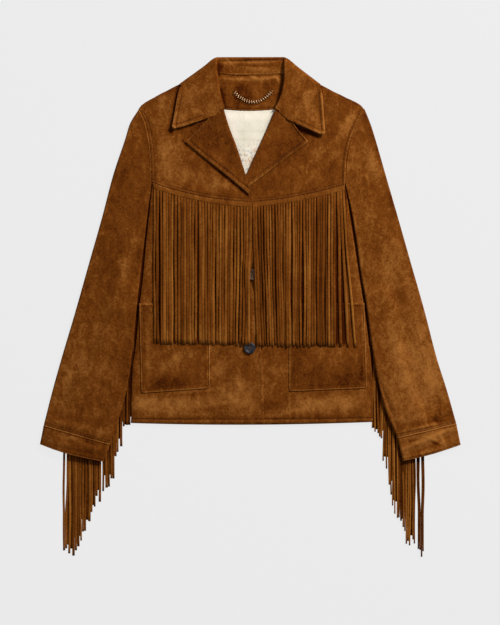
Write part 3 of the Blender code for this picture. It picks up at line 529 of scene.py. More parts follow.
def mesh_piece(name, points, quads, finish, values):
    """Mesh object of quads in millimetres, turned outwards, with one value of each kind for each point."""
    quads = outward(points, quads)
    mesh = bpy.data.meshes.new(name)
    mesh.vertices.add(len(points))
    mesh.vertices.foreach_set("co", (points * MM).astype(np.float32).ravel())
    mesh.loops.add(quads.size)
    mesh.loops.foreach_set("vertex_index", quads.astype(np.int32).ravel())
    mesh.polygons.add(len(quads))
    mesh.polygons.foreach_set("loop_start", np.arange(0, quads.size, 4, dtype=np.int32))
    mesh.update(calc_edges=True)
    for kind, value in values.items():
        layer = mesh.attributes.new(kind, 'FLOAT', 'POINT')
        layer.data.foreach_set("value", np.asarray(value, np.float32).ravel())
    mesh.shade_smooth()
    mesh.materials.append(finish)
    obj = bpy.data.objects.new(name, mesh)
    bpy.context.scene.collection.objects.link(obj)
    return obj


def grid_quads(rows, columns, wrap=False):
    """Quads of a grid of points, row by row."""
    across = columns if wrap else columns - 1
    r, c = np.meshgrid(np.arange(rows - 1), np.arange(across), indexing="ij")
    n = (c + 1) % columns
    return np.stack([r * columns + c, (r + 1) * columns + c, (r + 1) * columns + n, r * columns + n],
                    axis=-1).reshape(-1, 4)


def closed_skin(face, back, wrap=False):
    """Closed skin between two grids of points, with a rounded rim: points, quads and each point's source."""
    rows, columns = face.shape[:2]
    index = np.arange(rows * columns).reshape(rows, columns)
    inward = np.zeros_like(face)
    inward[0] += face[1] - face[0]
    inward[-1] += face[-2] - face[-1]
    if wrap:
        loops = [index[0][::-1], index[-1]]
    else:
        inward[:, 0] += face[:, 1] - face[:, 0]
        inward[:, -1] += face[:, -2] - face[:, -1]
        loops = [np.concatenate([index[:-1, 0], index[-1, :-1], index[:0:-1, -1], index[0, :0:-1]])]
    flat_face, flat_back = face.reshape(-1, 3), back.reshape(-1, 3)
    inward = inward.reshape(-1, 3)
    points = [flat_face, flat_back]
    quads = [grid_quads(rows, columns, wrap), grid_quads(rows, columns, wrap)[:, ::-1] + rows * columns]
    sources = [np.arange(rows * columns)] * 2
    base = 2 * rows * columns
    for loop in loops:
        thick = np.linalg.norm(flat_face[loop] - flat_back[loop], axis=1)[:, None]
        push = inward[loop] / np.maximum(np.linalg.norm(inward[loop], axis=1)[:, None], 1e-9)
        points.append((flat_face[loop] + flat_back[loop]) / 2.0 - push * thick * RIM)
        middle = base + np.arange(len(loop))
        a, b = loop, np.roll(loop, -1)
        ma, mb = middle, np.roll(middle, -1)
        quads.append(np.stack([b, a, ma, mb], axis=-1))
        quads.append(np.stack([mb, ma, a + rows * columns, b + rows * columns], axis=-1))
        sources.append(loop)
        base += len(loop)
    return np.concatenate(points), np.concatenate(quads), np.concatenate(sources)


def shell(name, face, back, finish, values, wrap=False):
    """Mesh object of a closed skin, with values given at the points of its grids."""
    points, quads, source = closed_skin(face, back, wrap)
    carried = {kind: np.asarray(value).reshape(-1)[source] for kind, value in values.items()}
    return mesh_piece(name, points, quads, finish, carried)


def side_distances(face):
    """Distance of each grid point from the left, right, top and foot edges, along the skin."""
    across = np.linalg.norm(np.diff(face, axis=1), axis=2)
    down = np.linalg.norm(np.diff(face, axis=0), axis=2)
    left = np.concatenate([np.zeros((len(face), 1)), np.cumsum(across, axis=1)], axis=1)
    top = np.concatenate([np.zeros((1, face.shape[1])), np.cumsum(down, axis=0)], axis=0)
    return dict(left=left, right=left[:, -1:] - left, top=top, foot=top[-1:] - top)


def round_corner(face, row_end, column_end, radius):
    """Round one corner of a grid; the ends are 0 for the first row or column and -1 for the last."""
    d = side_distances(face)
    from_row = d["top"] if row_end == 0 else d["foot"]
    from_column = d["left"] if column_end == 0 else d["right"]
    p = np.clip((radius - from_column) / radius, 0.0, 1.0)
    q = np.clip((radius - from_row) / radius, 0.0, 1.0)
    shift_column = radius * (p - p * np.sqrt(1.0 - q * q / 2.0))
    shift_row = radius * (q - q * np.sqrt(1.0 - p * p / 2.0))
    towards_column = np.gradient(face, axis=1) * (1 if column_end == 0 else -1)
    towards_row = np.gradient(face, axis=0) * (1 if row_end == 0 else -1)
    towards_column /= np.maximum(np.linalg.norm(towards_column, axis=2)[..., None], 1e-9)
    towards_row /= np.maximum(np.linalg.norm(towards_row, axis=2)[..., None], 1e-9)
    return face + towards_column * shift_column[..., None] + towards_row * shift_row[..., None]


def edge_shape(kind, d, stitch):
    """Rise of the skin at distance d from an edge of a kind."""
    near = np.clip(d / 1.3, 0.0, 1.0)
    fall = 0.5 * (1.0 - np.sqrt(1.0 - (1.0 - near) ** 2))
    groove = sum(0.52 * bell(d - row, 1.1) for row in stitch)
    crown = min(0.5 * max(stitch, default=6.0), 3.4)
    if kind == "turned":
        return 0.85 * bell(d - crown, 0.75 * crown) - groove - fall
    if kind == "lapped":
        return 1.0 * bell(d, 7.5) + 0.3 * bell(d - 4.8, 1.8) - groove - fall
    if kind == "joined":
        return 0.55 * bell(d - 3.0, 2.0) - 1.0 * fade(d, 1.5) - groove
    if kind == "rolled":
        return -0.4 * fade(d, 3.0)
    return 0.0 * d


def shape_edges(face, edges, keep=None):
    """Shape the edges of a grid in height, and give each point's distance from an edge and from a thread.

    keep says how much of an edge is free, from 0 to 1, by side.
    """
    d = side_distances(face)
    nearest = np.full(face.shape[:2], FAR)
    thread = np.full(face.shape[:2], FAR)
    rise = np.zeros(face.shape[:2])
    for side, (kind, stitch) in edges.items():
        if kind == "hidden":
            continue
        mask = (keep or {}).get(side, 1.0)
        rise += edge_shape(kind, d[side], stitch) * mask
        away = d[side] + FAR * (1.0 - mask)
        nearest = np.minimum(nearest, away)
        for row in stitch:
            thread = np.minimum(thread, np.abs(away - row))
    shaped = face.copy()
    shaped[..., 2] += rise
    return shaped, nearest, thread


def tones(face, base):
    """Lighter and darker patches of the nap, of painted shade and of painted highlights, with the tone of
    the whole piece.
    """
    return bump_sum(NAP_PATCHES, *xy(face)) + base


def bead(edge, height):
    """Painted light on the rolled rim along the free edges, with painted shade in the hollow inside it."""
    return height * (bell(edge - 2.2, 1.7) - 0.5 * bell(edge - 8.0, 3.0))


def panel_grid(sections, height, spacing=SPACING, near=EDGE_STATIONS):
    """Grid of points through sections (left end, right end, bow), listed from top to foot."""
    left = np.array([s[0] for s in sections], float)
    right = np.array([s[1] for s in sections], float)
    bow = np.array([[s[2]] for s in sections], float)
    run = (chords(left) + chords(right)) / 2.0
    rows = between(np.column_stack([run, left, right, bow]), stations(run[-1], spacing, near))
    start, end, bow = rows[:, None, 0:2], rows[:, None, 2:4], rows[:, 4:5]
    width = np.linalg.norm(end - start, axis=2)
    even = stations(float(width.max()), spacing, near)
    edge = len(near)
    scale = np.minimum(1.0, width / (2.6 * near[-1]))
    first = np.array(near)[None, :] * scale
    middle = (even[edge:-edge] - near[-1]) / (even[-1] - 2.0 * near[-1])
    reach_in = near[-1] * scale
    inner = reach_in + (width - 2.0 * reach_in) * middle[None, :]
    u = np.concatenate([first, inner, width - first[:, ::-1]], axis=1) / width
    offset = -4.0 * bow * u * (1.0 - u)
    along = (end - start) / width[..., None]
    x = start[..., 0] + (end - start)[..., 0] * u - along[..., 1] * offset
    y = start[..., 1] + (end - start)[..., 1] * u + along[..., 0] * offset
    return points_of(x, y, height(x, y))


def line_at(face, side, away, start=0.0, end=0.0):
    """Line on a grid at a distance from one edge, trimmed at its two ends."""
    d = side_distances(face)[side]
    grid, steps = (face, d) if side in ("left", "right") else (face.transpose(1, 0, 2), d.T)
    line = []
    for points, distances in zip(grid, steps):
        order = np.argsort(distances)
        line.append([np.interp(away, distances[order], points[order, k]) for k in range(3)])
    line = np.array(line)
    run = chords(line)
    at = np.linspace(start, run[-1] - end, max(4, int((run[-1] - start - end) / 4.0)))
    return np.stack([np.interp(at, run, line[:, k]) for k in range(3)], axis=-1)


def sew(*lines, lift=0.12):
    """Put a line of topstitching through the given lines, one after the other."""
    path = np.concatenate(lines)
    path = path + np.array([0.0, 0.0, lift])
    stitch_paths.append(path)


def declare(obj, nodes):
    """Hang a finished skin on the root and hide the solids that it stands in for."""
    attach(obj, "root")
    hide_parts(*nodes)


def side_skin(part, side, face, back, flat, area, rests_on, held="laid", wrap=False, **values):
    """Suede skin of a piece on one side, standing in for that side's solid."""
    obj = shell(part + "_skin_" + side_name(side), face, back, SUEDE, values, wrap=wrap)
    declare(obj, [part + "_" + side_name(side)])


# ---------------------------------------------------------------- finishes

def add_node(tree, kind, inputs=None, **settings):
    """Node with its settings, values and links."""
    node = tree.nodes.new(kind)
    for key, value in settings.items():
        setattr(node, key, value)
    for key, value in (inputs or {}).items():
        if isinstance(value, bpy.types.NodeSocket):
            tree.links.new(value, node.inputs[key])
        else:
            node.inputs[key].default_value = value
    return node


def new_tree(name, kind, inputs, outputs):
    """Empty node group: its tree, inputs and outputs. An input is a number or the kind of its socket."""
    tree = bpy.data.node_groups.new(name, kind)
    for label, value in inputs.items():
        number = not isinstance(value, str)
        socket = tree.interface.new_socket(label, in_out='INPUT',
                                           socket_type='NodeSocketFloat' if number else value)
        if number:
            socket.default_value = value
    for label, socket_kind in outputs.items():
        tree.interface.new_socket(label, in_out='OUTPUT', socket_type=socket_kind)
    return tree, tree.nodes.new('NodeGroupInput').outputs, tree.nodes.new('NodeGroupOutput').inputs


def maths(tree, operation, a, b=0.0, c=0.0):
    """Result of one sum on values or sockets."""
    node = add_node(tree, 'ShaderNodeMath', {0: a, 1: b, 2: c}, operation=operation)
    return node.outputs[0]


def noise(tree, place, scale, detail, **more):
    """Value of a noise texture at a place."""
    given = {"Vector": place, "Scale": scale, "Detail": detail, **more}
    return add_node(tree, 'ShaderNodeTexNoise', given).outputs["Fac"]


def attribute(tree, name):
    """Value that the mesh carries under a name."""
    return add_node(tree, 'ShaderNodeAttribute', attribute_name=name).outputs["Fac"]


def object_place(tree):
    """Place on the object, for patterns that stay with it."""
    return add_node(tree, 'ShaderNodeTexCoord').outputs["Object"]


def ramp(tree, value, low, high, *between_stops):
    """Colour of a value between two stops, each a position and a colour, and any stops between them."""
    node = add_node(tree, 'ShaderNodeValToRGB', {"Fac": value})
    elements = node.color_ramp.elements
    for element, (position, colour) in zip(elements, (low, high)):
        element.position, element.color = position, (*colour, 1.0)
    for position, colour in between_stops:
        elements.new(position).color = (*colour, 1.0)
    return node.outputs["Color"]


def blended(tree, share, first, second):
    """Colour between two colours."""
    node = add_node(tree, 'ShaderNodeMix', {0: share, 6: first, 7: second}, data_type='RGBA')
    return node.outputs[2]


def relief(tree, shader, height, strength, distance):
    """Give a shader the small relief of a height."""
    bump = add_node(tree, 'ShaderNodeBump', {"Height": height, "Strength": strength, "Distance": distance})
    tree.links.new(bump.outputs["Normal"], shader.inputs["Normal"])


TONE_AND_HEIGHT = {"Tone": 'NodeSocketFloat', "Height": 'NodeSocketFloat'}


def nap_group():
    """Brushed nap: broad patches, short strokes and fine grain."""
    inputs = {"Vector": 'NodeSocketVector', "Patches": 0.5, "Grain": 0.5}
    tree, given, out = new_tree("brushed_nap", 'ShaderNodeTree', inputs, TONE_AND_HEIGHT)
    place = given["Vector"]
    broad = noise(tree, place, 22.0, 4.0, Roughness=0.6, Distortion=0.4)
    brushed = add_node(tree, 'ShaderNodeMapping', {"Vector": place, "Scale": (1.0, 0.55, 1.0),
                                                   "Rotation": (0.0, 0.0, 0.5)}).outputs[0]
    strokes = noise(tree, brushed, 75.0, 4.0, Roughness=0.64, Distortion=0.7)
    grain = noise(tree, place, 260.0, 5.0, Roughness=0.75)
    fibre = noise(tree, place, 1900.0, 2.0, Roughness=0.6)
    patch, stroke, speck = [maths(tree, 'SUBTRACT', value, 0.5) for value in (broad, strokes, grain)]
    soft = maths(tree, 'MULTIPLY_ADD', stroke, 0.95, maths(tree, 'MULTIPLY', patch, 0.5))
    soft = maths(tree, 'MULTIPLY', soft, given["Patches"])
    tree.links.new(maths(tree, 'MULTIPLY_ADD', speck, given["Grain"], soft), out["Tone"])
    fine = maths(tree, 'MULTIPLY_ADD', fibre, 0.5, grain)
    tree.links.new(maths(tree, 'MULTIPLY_ADD', strokes, 0.8, fine), out["Height"])


def seam_group():
    """Marks along edges and stitched rows: painted shade in the stitch grooves, and edges rubbed paler."""
    tree, given, out = new_tree("seam_marks", 'ShaderNodeTree',
                                {"Edge": FAR, "Thread": FAR, "Rubbed": 0.3, "Groove": 0.3}, TONE_AND_HEIGHT)

    def close_to(distance, near, far):
        limits = {"Value": distance, "From Min": near, "From Max": far, "To Min": 1.0, "To Max": 0.0}
        return add_node(tree, 'ShaderNodeMapRange', limits, interpolation_type='SMOOTHSTEP').outputs[0]

    groove = close_to(given["Thread"], 0.2, 1.9)
    pale = maths(tree, 'MULTIPLY', close_to(given["Edge"], 0.6, 2.6), given["Rubbed"])
    # Painted shade in the stitch grooves.
    dark = maths(tree, 'MULTIPLY', groove, given["Groove"])
    tree.links.new(maths(tree, 'SUBTRACT', pale, dark), out["Tone"])
    tree.links.new(maths(tree, 'MULTIPLY', groove, -1.0), out["Height"])


def new_material(name, roughness, **sockets):
    """Material with a plain Principled shader; returns its tree and shader."""
    material = bpy.data.materials.new(name)
    material.use_nodes = True
    tree = material.node_tree
    shader = tree.nodes["Principled BSDF"]
    shader.inputs["Roughness"].default_value = roughness
    for label, value in sockets.items():
        shader.inputs[label.replace("_", " ")].default_value = value
    return material, tree, shader


def suede(name, dark, middle, light, patches=1.0, grain=0.5, rubbed=0.25, groove=0.35):
    """Suede in three shades, moved between them by nap, wear, painted shade in the stitch grooves and the
    tone attribute, which holds the tone of the piece and its painted light and shade.
    """
    material, tree, shader = new_material(name, 0.92, Sheen_Weight=0.12, Sheen_Roughness=0.5,
                                          Sheen_Tint=(0.85, 0.42, 0.14, 1.0), Specular_IOR_Level=0.02)
    nap = add_node(tree, 'ShaderNodeGroup', node_tree=bpy.data.node_groups["brushed_nap"])
    tree.links.new(object_place(tree), nap.inputs["Vector"])
    marks = add_node(tree, 'ShaderNodeGroup', node_tree=bpy.data.node_groups["seam_marks"])
    for label in ("Edge", "Thread"):
        tree.links.new(attribute(tree, label.lower()), marks.inputs[label])
    for group, label, value in ((nap, "Patches", patches), (nap, "Grain", grain), (marks, "Rubbed", rubbed),
                                (marks, "Groove", groove)):
        group.inputs[label].default_value = value
    tone = maths(tree, 'ADD', nap.outputs["Tone"], marks.outputs["Tone"])
    tone = maths(tree, 'MULTIPLY_ADD', attribute(tree, "tone"), 0.5, tone)
    tone = maths(tree, 'ADD', tone, 0.5)
    colour = ramp(tree, tone, (0.0, dark), (1.0, light), (0.5, middle))
    tree.links.new(colour, shader.inputs["Base Color"])
    height = maths(tree, 'MULTIPLY_ADD', marks.outputs["Height"], 1.2, nap.outputs["Height"])
    relief(tree, shader, height, 0.55, 0.0006)
    return material


def lining_cloth():
    """Cream lining with a fine weave and a few faint generic flecks."""
    material, tree, shader = new_material("cream_lining", 0.7, Sheen_Weight=0.1, Specular_IOR_Level=0.3)
    place = object_place(tree)
    weave, weft = [add_node(tree, 'ShaderNodeTexWave', {"Vector": place, "Scale": 420.0, "Distortion": 1.5},
                            bands_direction=across).outputs["Fac"] for across in "XY"]
    flecks = noise(tree, place, 250.0, 3.0, Roughness=0.65)
    spot = add_node(tree, 'ShaderNodeMapRange', {"Value": flecks, "From Min": 0.45, "From Max": 0.62,
                                                 "To Max": 0.85}).outputs[0]
    spot = maths(tree, 'MULTIPLY', spot, attribute(tree, "thread"))
    tint = ramp(tree, noise(tree, place, 60.0, 1.0), (0.37, (0.38, 0.42, 0.44)), (0.55, (0.58, 0.33, 0.2)))
    base = ramp(tree, noise(tree, place, 28.0, 3.0), (0.3, (0.77, 0.7, 0.55)), (0.7, (0.9, 0.82, 0.68)))
    # The tone attribute mixes in brown for the seam lines and for painted warm shade beside the right
    # lapel's roll.
    sewn = maths(tree, 'MULTIPLY', attribute(tree, "tone"), 0.3)
    cloth = blended(tree, sewn, blended(tree, spot, base, tint), (0.36, 0.27, 0.18, 1.0))
    tree.links.new(cloth, shader.inputs["Base Color"])
    relief(tree, shader, maths(tree, 'ADD', weave, weft), 0.25, 0.0002)
    return material


def grained(name, dark, light, scale, roughness, **sockets):
    """Smooth hard or twisted stuff with a streaked grain in two shades."""
    material, tree, shader = new_material(name, roughness, **sockets)
    space = add_node(tree, 'ShaderNodeMapping', {"Vector": object_place(tree), "Scale": (1.0, 0.4, 1.0)})
    streak = noise(tree, space.outputs[0], scale, 4.0, Distortion=0.8)
    tree.links.new(ramp(tree, streak, (0.3, dark), (0.7, light)), shader.inputs["Base Color"])
    rough = add_node(tree, 'ShaderNodeMapRange', {"Value": streak, "To Min": roughness * 0.8,
                                                  "To Max": min(1.0, roughness * 1.25)})
    tree.links.new(rough.outputs[0], shader.inputs["Roughness"])
    relief(tree, shader, streak, 0.2, 0.0002)
    return material


nap_group()
seam_group()
SUEDE = suede("brown_suede", (0.044, 0.0065, 0.0003), (0.155, 0.0415, 0.0042), (0.35, 0.13, 0.026),
              patches=1.0, grain=1.1, groove=0.25)
FRINGE_SUEDE = suede("brown_suede_fringe", (0.03, 0.0045, 0.0003), (0.148, 0.04, 0.0042),
                     (0.36, 0.132, 0.021), patches=0.5, grain=0.6, rubbed=0.0, groove=0.0)
LINING_CLOTH = lining_cloth()
HORN = grained("dark_horn", (0.009, 0.009, 0.012), (0.034, 0.033, 0.042), 260.0, 0.4,
               Specular_IOR_Level=0.3)
BROWN_HORN = grained("brown_horn", (0.018, 0.005, 0.002), (0.1, 0.042, 0.02), 260.0, 0.32)
METAL = grained("chain_metal", (0.56, 0.31, 0.13), (0.9, 0.62, 0.34), 500.0, 0.3, Metallic=0.5)
THREAD = grained("brown_thread", (0.14, 0.047, 0.0085), (0.28, 0.11, 0.025), 2500.0, 0.8,
                 Specular_IOR_Level=0.05)


# ---------------------------------------------------------------- skins of the body

def side_name(side):
    """Name of a side as seen from the front."""
    return "left" if side < 0 else "right"


def ordered(side, outer, inner, bow):
    """Section with its left end first."""
    return (outer, inner, bow) if side < 0 else (inner, outer, bow)


def sides(side, outer, inner):
    """Edge kinds by left and right for outer and inner."""
    return dict(left=outer, right=inner) if side < 0 else dict(left=inner, right=outer)


def below(face, drop):
    """Underside of a skin that lies flat."""
    return face - np.array([0.0, 0.0, drop])


def make_back():
    """Back panel: shoulders, armholes, sides and hem."""
    neck = BACK_NECK
    sections = [(neck["left"], neck["right"], neck["drop"])]
    for t in (0.72, 0.42, 0.0):
        sections.append((share_of(SHOULDERS[-1], t), share_of(SHOULDERS[1], t), neck["drop"] * t))
    for t in ARM_STEPS + (1.0,):
        left, right = armhole(-1, t), armhole(1, t)
        out = 3.2 * float(ease((t - 0.7) / 0.3)) - ARM_GAP
        sections.append(((left[0] - out, left[1]), (right[0] + out, right[1]), 0.0))
    for share in (0.03, 0.07, 0.12, 0.25, 0.4, 0.52, 0.66, 0.78, 0.9, 1.0):
        bow = 4.0 if share == 1.0 else 0.0
        ends = []
        for side in (-1, 1):
            x, y = share_of(SIDES[side], share)
            inner_line = [row[1] for row in SLEEVES[side]]
            room = side * (float(x_at(inner_line, y)) - x) + 1.3
            ends.append((x + side * float(np.clip(room, 0.0, 5.5) * (1.0 - ease((-78.0 - y) / 26.0))), y))
        sections.append((ends[0], ends[1], bow))

    def height(x, y):
        return back_lift(x, y) + WALL

    face = panel_grid(sections, height, spacing=9.0)
    face, edge, thread = shape_edges(face, dict(foot=("turned", (BACK_HEM_STITCH,))))
    under = below(face, WALL - 0.1)
    distance = side_distances(face)
    outside = np.minimum(distance["left"], distance["right"])
    face[..., 2] -= 0.7 * fade(outside, 4.0)
    # Painted shade on the back's sides below the armholes, where they show in the gaps between the sleeves
    # and the fronts.
    by_sides = np.exp(-(outside / 9.0) ** 4) * ease((226.0 - face[..., 1]) / 8.0)
    tone = tones(face, -0.1) - 1.3 * by_sides
    under[..., 2] += 0.6 * bell(under[..., 0], 1.6)
    sew(line_at(under, "foot", BACK_HEM_STITCH, 5.0, 5.0), lift=-0.1)
    spine = np.linspace(402.0, -206.0, 160)
    for shift in (-3.0, 3.0):
        sew(points_of(0.0 * spine + shift, spine, back_lift(0.0 * spine, spine) + 0.05), lift=-0.1)
    obj = shell("back_skin", face, under, SUEDE, dict(tone=tone, edge=edge, thread=thread))
    declare(obj, ["back_panel"])


def yoke_sections(side):
    """Sections of a front yoke, from the shoulder to the fringed seam."""
    seam = YOKE_SEAM[side]
    sections = [ordered(side, outer, inner, 0.0) for outer, inner in YOKE_SHOULDER[side]]
    for t in (0.0,) + ARM_STEPS[:-1]:
        x, y = armhole(side, t)
        outer = (x - side * ARM_GAP, y) if t > 0.0 else SHOULDERS[side][0]
        inner = share_of(YOKE_INNER[side], t / ARM_STEPS[-2])
        sections.append(ordered(side, outer, inner, seam["bow"] * t ** 3))
    arm, centre = [(seam[end][0], seam[end][1] + 0.15) for end in ("arm", "centre")]
    sections.append(ordered(side, arm, centre, seam["bow"]))
    return sections


def beside_edges(side, x, y):
    """Deep shade on a yoke where the lapel and the collar's leaf stand off it."""
    if side < 0:
        lines = [([(-70, 255), (-40, 230), (-3, 200)], 2.2, 1.1), ([(-121, 298), (-114, 291)], 2.6, 0.9),
                 ([(-119, 299), (-94, 323), (-72, 346)], 1.6, 0.5),
                 ([(-129, 396), (-136, 350), (-144, 316)], 4.0, 1.0),
                 ([(-142, 313), (-70, 339.5)], 2.4, 0.5)]
    else:
        lines = [([(66, 334), (96, 319), (122, 307.5)], 3.0, 1.1)]
    return sum(depth * bell(reach(path, x, y), width) for path, width, depth in lines)


def make_yoke(side):
    """Front yoke, lapped over the fringe at its foot and joined to the sleeve."""
    face = panel_grid(yoke_sections(side), lambda x, y: draped(side, x, y))
    arm = ease((ARMHOLES[side]["top"][1] + 6.0 - face[..., 1]) / 8.0)
    outer_side = side_name(side)
    edges = dict(foot=("lapped", YOKE_STITCHES), **sides(side, ("joined", (ARM_STITCH,)), ("hidden", ())))
    away = side_distances(face)
    plain, edge, thread = shape_edges(face, edges, {outer_side: arm})
    roll = edge_shape("rolled", away[outer_side], ()) * (1.0 - arm)
    top_roll = edge_shape("rolled", away["top"], ())
    plain[..., 2] += roll + top_roll
    tone = tones(plain, -0.14 if side < 0 else -0.22) - beside_edges(side, *xy(plain))
    side_skin("yoke", side, plain, below(plain, SKIN), (0.205, 0.234), 0.030, "back_skin",
              tone=tone, edge=edge, thread=thread)
    for row, trim in zip(YOKE_STITCHES, (2.0, 6.0)):
        sew(line_at(plain, "foot", row, trim, 2.0))
    line = line_at(plain, outer_side, ARM_STITCH, 0.0, 3.0)
    sew(line[line[:, 1] < ARMHOLES[side]["top"][1] + 2.0])


def under_fringe(x, y):
    """How far a point lies in the shade of the chest fringe, 0 to 1."""
    beside = np.where(x < 0.0, -170.0 - x, x - 172.0)
    above_tips = ease((y + np.where(x < 3.0, 65.5, 70.0)) / 4.0)
    return above_tips * (1.0 - ease((beside + 2.0) / 6.0)) * ease(abs(x - 6.0) / 6.0 - 0.6)


def make_front(side):
    """Lower front from the fringed seam to the hem, turned back at its centre edge."""
    seam = YOKE_SEAM[side]
    arm, centre = [(seam[end][0], seam[end][1] - 0.15) for end in ("arm", "centre")]
    sections = [ordered(side, arm, centre, seam["bow"])]
    for row, (y_side, y_centre) in enumerate(FRONT_ROWS):
        inset = SIDE_INSET * float(ease((212.0 - y_side) / 60.0) * ease((y_side + 150.0) / 60.0))
        outer = (float(x_at(SIDES[side], y_side)) - side * inset, y_side)
        inner_x = float(x_at(CENTRE_FRONT, y_centre)) - (0.0 if side < 0 else LAP_WIDTH)
        bow = max(0.0, seam["bow"] * (1.0 - (row + 1) / 4.0))
        sections.append(ordered(side, outer, (inner_x, y_centre), bow))
    inner_x = float(x_at(CENTRE_FRONT, -212)) - (0.0 if side < 0 else LAP_WIDTH)
    sections.append(ordered(side, SIDES[side][-1], (inner_x, -209.5), 1.0))
    face = panel_grid(sections, lambda x, y: draped(side, x, y))
    centre_edge = ("turned", (FRONT_STITCH,)) if side < 0 else ("hidden", ())
    edges = dict(foot=("turned", (HEM_STITCH,)), **sides(side, ("rolled", ()), centre_edge))
    plain, edge, thread = shape_edges(face, edges, dict(right=0.5) if side < 0 else None)
    away = side_distances(face)
    plain[..., 2] -= 0.5 * fade(away["top"], 6.0)
    # Painted shade under the chest fringe, and painted shade along the outer side where the front meets the
    # gap to the sleeve.
    tone = tones(plain, 0.02) - 1.15 * under_fringe(*xy(plain))
    tone = tone - 0.9 * fade(away[side_name(side)], 2.2)
    side_skin("front", side, plain, below(plain, SKIN), (0.245, 0.43), 0.09, "back_skin",
              tone=tone, edge=edge, thread=thread)
    sew(line_at(plain, "foot", HEM_STITCH, 3.0, 3.0 if side > 0 else 5.0))
    if side < 0:
        sew(line_at(plain, "right", FRONT_STITCH, 6.0, 6.0))


def make_pocket(side):
    """Patch pocket, topstitched down its sides and along its foot."""
    data = POCKETS[side]
    sections = [(data["top"][0], data["top"][1], 0.0), (data["foot"][0], data["foot"][1], 0.0)]
    face = panel_grid(sections, lambda x, y: draped(side, x, y) + GAP + THIN_SKIN)
    middle = (data["top"][0][0] + data["top"][1][0]) / 2.0
    face[..., 2] += bump_sum([(middle, 4.0, 0, 46, 14, 0.4)], *xy(face))
    edges = {end: ("turned", (TRIM_STITCH,)) for end in ("left", "right", "foot")}
    edges["top"] = ("turned", (MOUTH_STITCH,))
    face = round_corner(round_corner(face, -1, 0, 5.0), -1, -1, 5.0)
    plain, edge, thread = shape_edges(face, edges, dict(top=0.8))
    # Painted shade under the chest fringe, with painted light on the rolled rims and painted shade inside
    # them.
    tone = tones(plain, -0.08 if side < 0 else -0.14) - 1.1 * under_fringe(*xy(plain)) + bead(edge, 0.5)
    side_skin("pocket", side, plain, below(plain, THIN_SKIN), (0.135, 0.165), 0.0208,
              "front_skin_" + side_name(side), tone=tone, edge=edge, thread=thread)
    left, right = [line_at(plain, end, TRIM_STITCH, 1.0, 2.4) for end in ("left", "right")]
    sew(left, line_at(plain, "foot", TRIM_STITCH, 3.0, 3.0), right[::-1])
    sew(line_at(plain, "top", MOUTH_STITCH, 3.0, 3.0))


def chain_line():
    """Points of the hanging loop of the chain."""
    (x0, y0), (x1, _) = CHAIN["left"], CHAIN["right"]
    return [(x0 + (x1 - x0) * t, y0 - 4.0 * CHAIN["sag"] * t * (1.0 - t))
            for t in np.linspace(0.0, 1.0, 40)]


def make_inside():
    """Back facing inside the neck, and the lining below it."""
    data = FACING
    sections = [((data["left"], data["top"]), (data["right"], data["top"]), 2.0),
                ((data["left"], data["foot"]), (data["right"], data["foot"]), data["bow"])]

    def facing_height(x, y):
        wave = ripple(x, y, 21, 0.16, 60.0)
        wave = wave + bump_sum([(-30, 392, 12, 30, 7, 0.3), (30, 372, 170, 34, 7, 0.3)], x, y)
        welt = 0.75 * bell(y - 410.5, 3.6) - 0.5 * ease((y - 415.0) / 3.0)
        return over_back(x, y) + FACING_WALL + np.minimum(wave, 0.3) + welt

    # Painted shadow of the chain on the facing.
    def by_chain(x, y):
        return bell(reach(chain_line(), x, y), 3.2)

    def by_ends(x):
        return bell(x + 52.0, 8.0) + bell(x - 52.0, 8.0)

    face = panel_grid(sections, facing_height, spacing=2.5)
    face, edge, thread = shape_edges(face, dict(foot=("turned", (FACING_STITCH,))))
    # Painted shade on the facing beside the collar's rolls near both ends, and painted shadow under the
    # chain.
    by_seam = bell(face[..., 1] - 384.0, 9.0) * by_ends(face[..., 0])
    tone = tones(face, -0.26) - 0.5 * by_seam - 0.9 * by_chain(*xy(face))
    obj = shell("back_facing_skin", face, below(face, FACING_WALL - 0.3), SUEDE,
                dict(tone=tone, edge=edge, thread=thread))
    declare(obj, ["back_facing"])
    sew(line_at(face, "foot", FACING_STITCH, 2.0, 2.0))
    data = LINING
    sections = [((data["left"], data["top"] - 0.3), (data["right"], data["top"] - 0.3), FACING["bow"]),
                ((data["foot_left"], data["foot"]), (data["foot_right"], data["foot"]), 0.0)]

    def by_roll(x, y):
        return bell(reach([row[1] for row in LAPELS[1]], x, y), 3.6)

    def lining_height(x, y):
        pleat = 0.15 * bell(x + 9.0, 3.0) - 0.3 * bell(y - 300.0, 1.3)
        sag = bump_sum([(-22, 270, 60, 34, 6, 0.35), (14, 252, 110, 30, 6, 0.35), (20, 322, 80, 26, 7, 0.3),
                        (-34, 322, 100, 24, 6, 0.25)], x, y)
        rise = np.maximum(ease((352.0 - y) / 16.0), by_roll(x, y) * ease((357.0 - y) / 3.0))
        level = over_back(x, y) + LINING_WALL + 0.4 + 1.4 * rise
        return level + pleat + sag + ripple(x, y, 31, 0.1, 50.0) + 1.2 * by_roll(x, y)

    face = panel_grid(sections, lining_height, spacing=3.0)
    flecked = ease((306.0 - face[..., 1]) / 30.0)
    seam = bell(face[..., 1] - 300.3 + 0.03 * face[..., 0], 1.2)
    seam += 0.4 * bell(face[..., 1] - 317.0, 1.4)
    # Painted warm shade on the lining beside the right lapel's roll.
    seam += 0.4 * by_roll(*xy(face))
    obj = shell("lining_cloth", face, below(face, CLOTH), LINING_CLOTH, dict(tone=seam, thread=flecked))
    declare(obj, ["lining_back"])


# ---------------------------------------------------------------- sleeves and cuffs

def sleeve_shape(side, x, y):
    """Folds of a sleeve on top of its even form."""
    table = [row for row in CREASES + SLEEVE_FOLDS if row[0] * side > 0]
    return bump_sum(table, x, y) + ripple(x, y, 7 + side, 0.14)


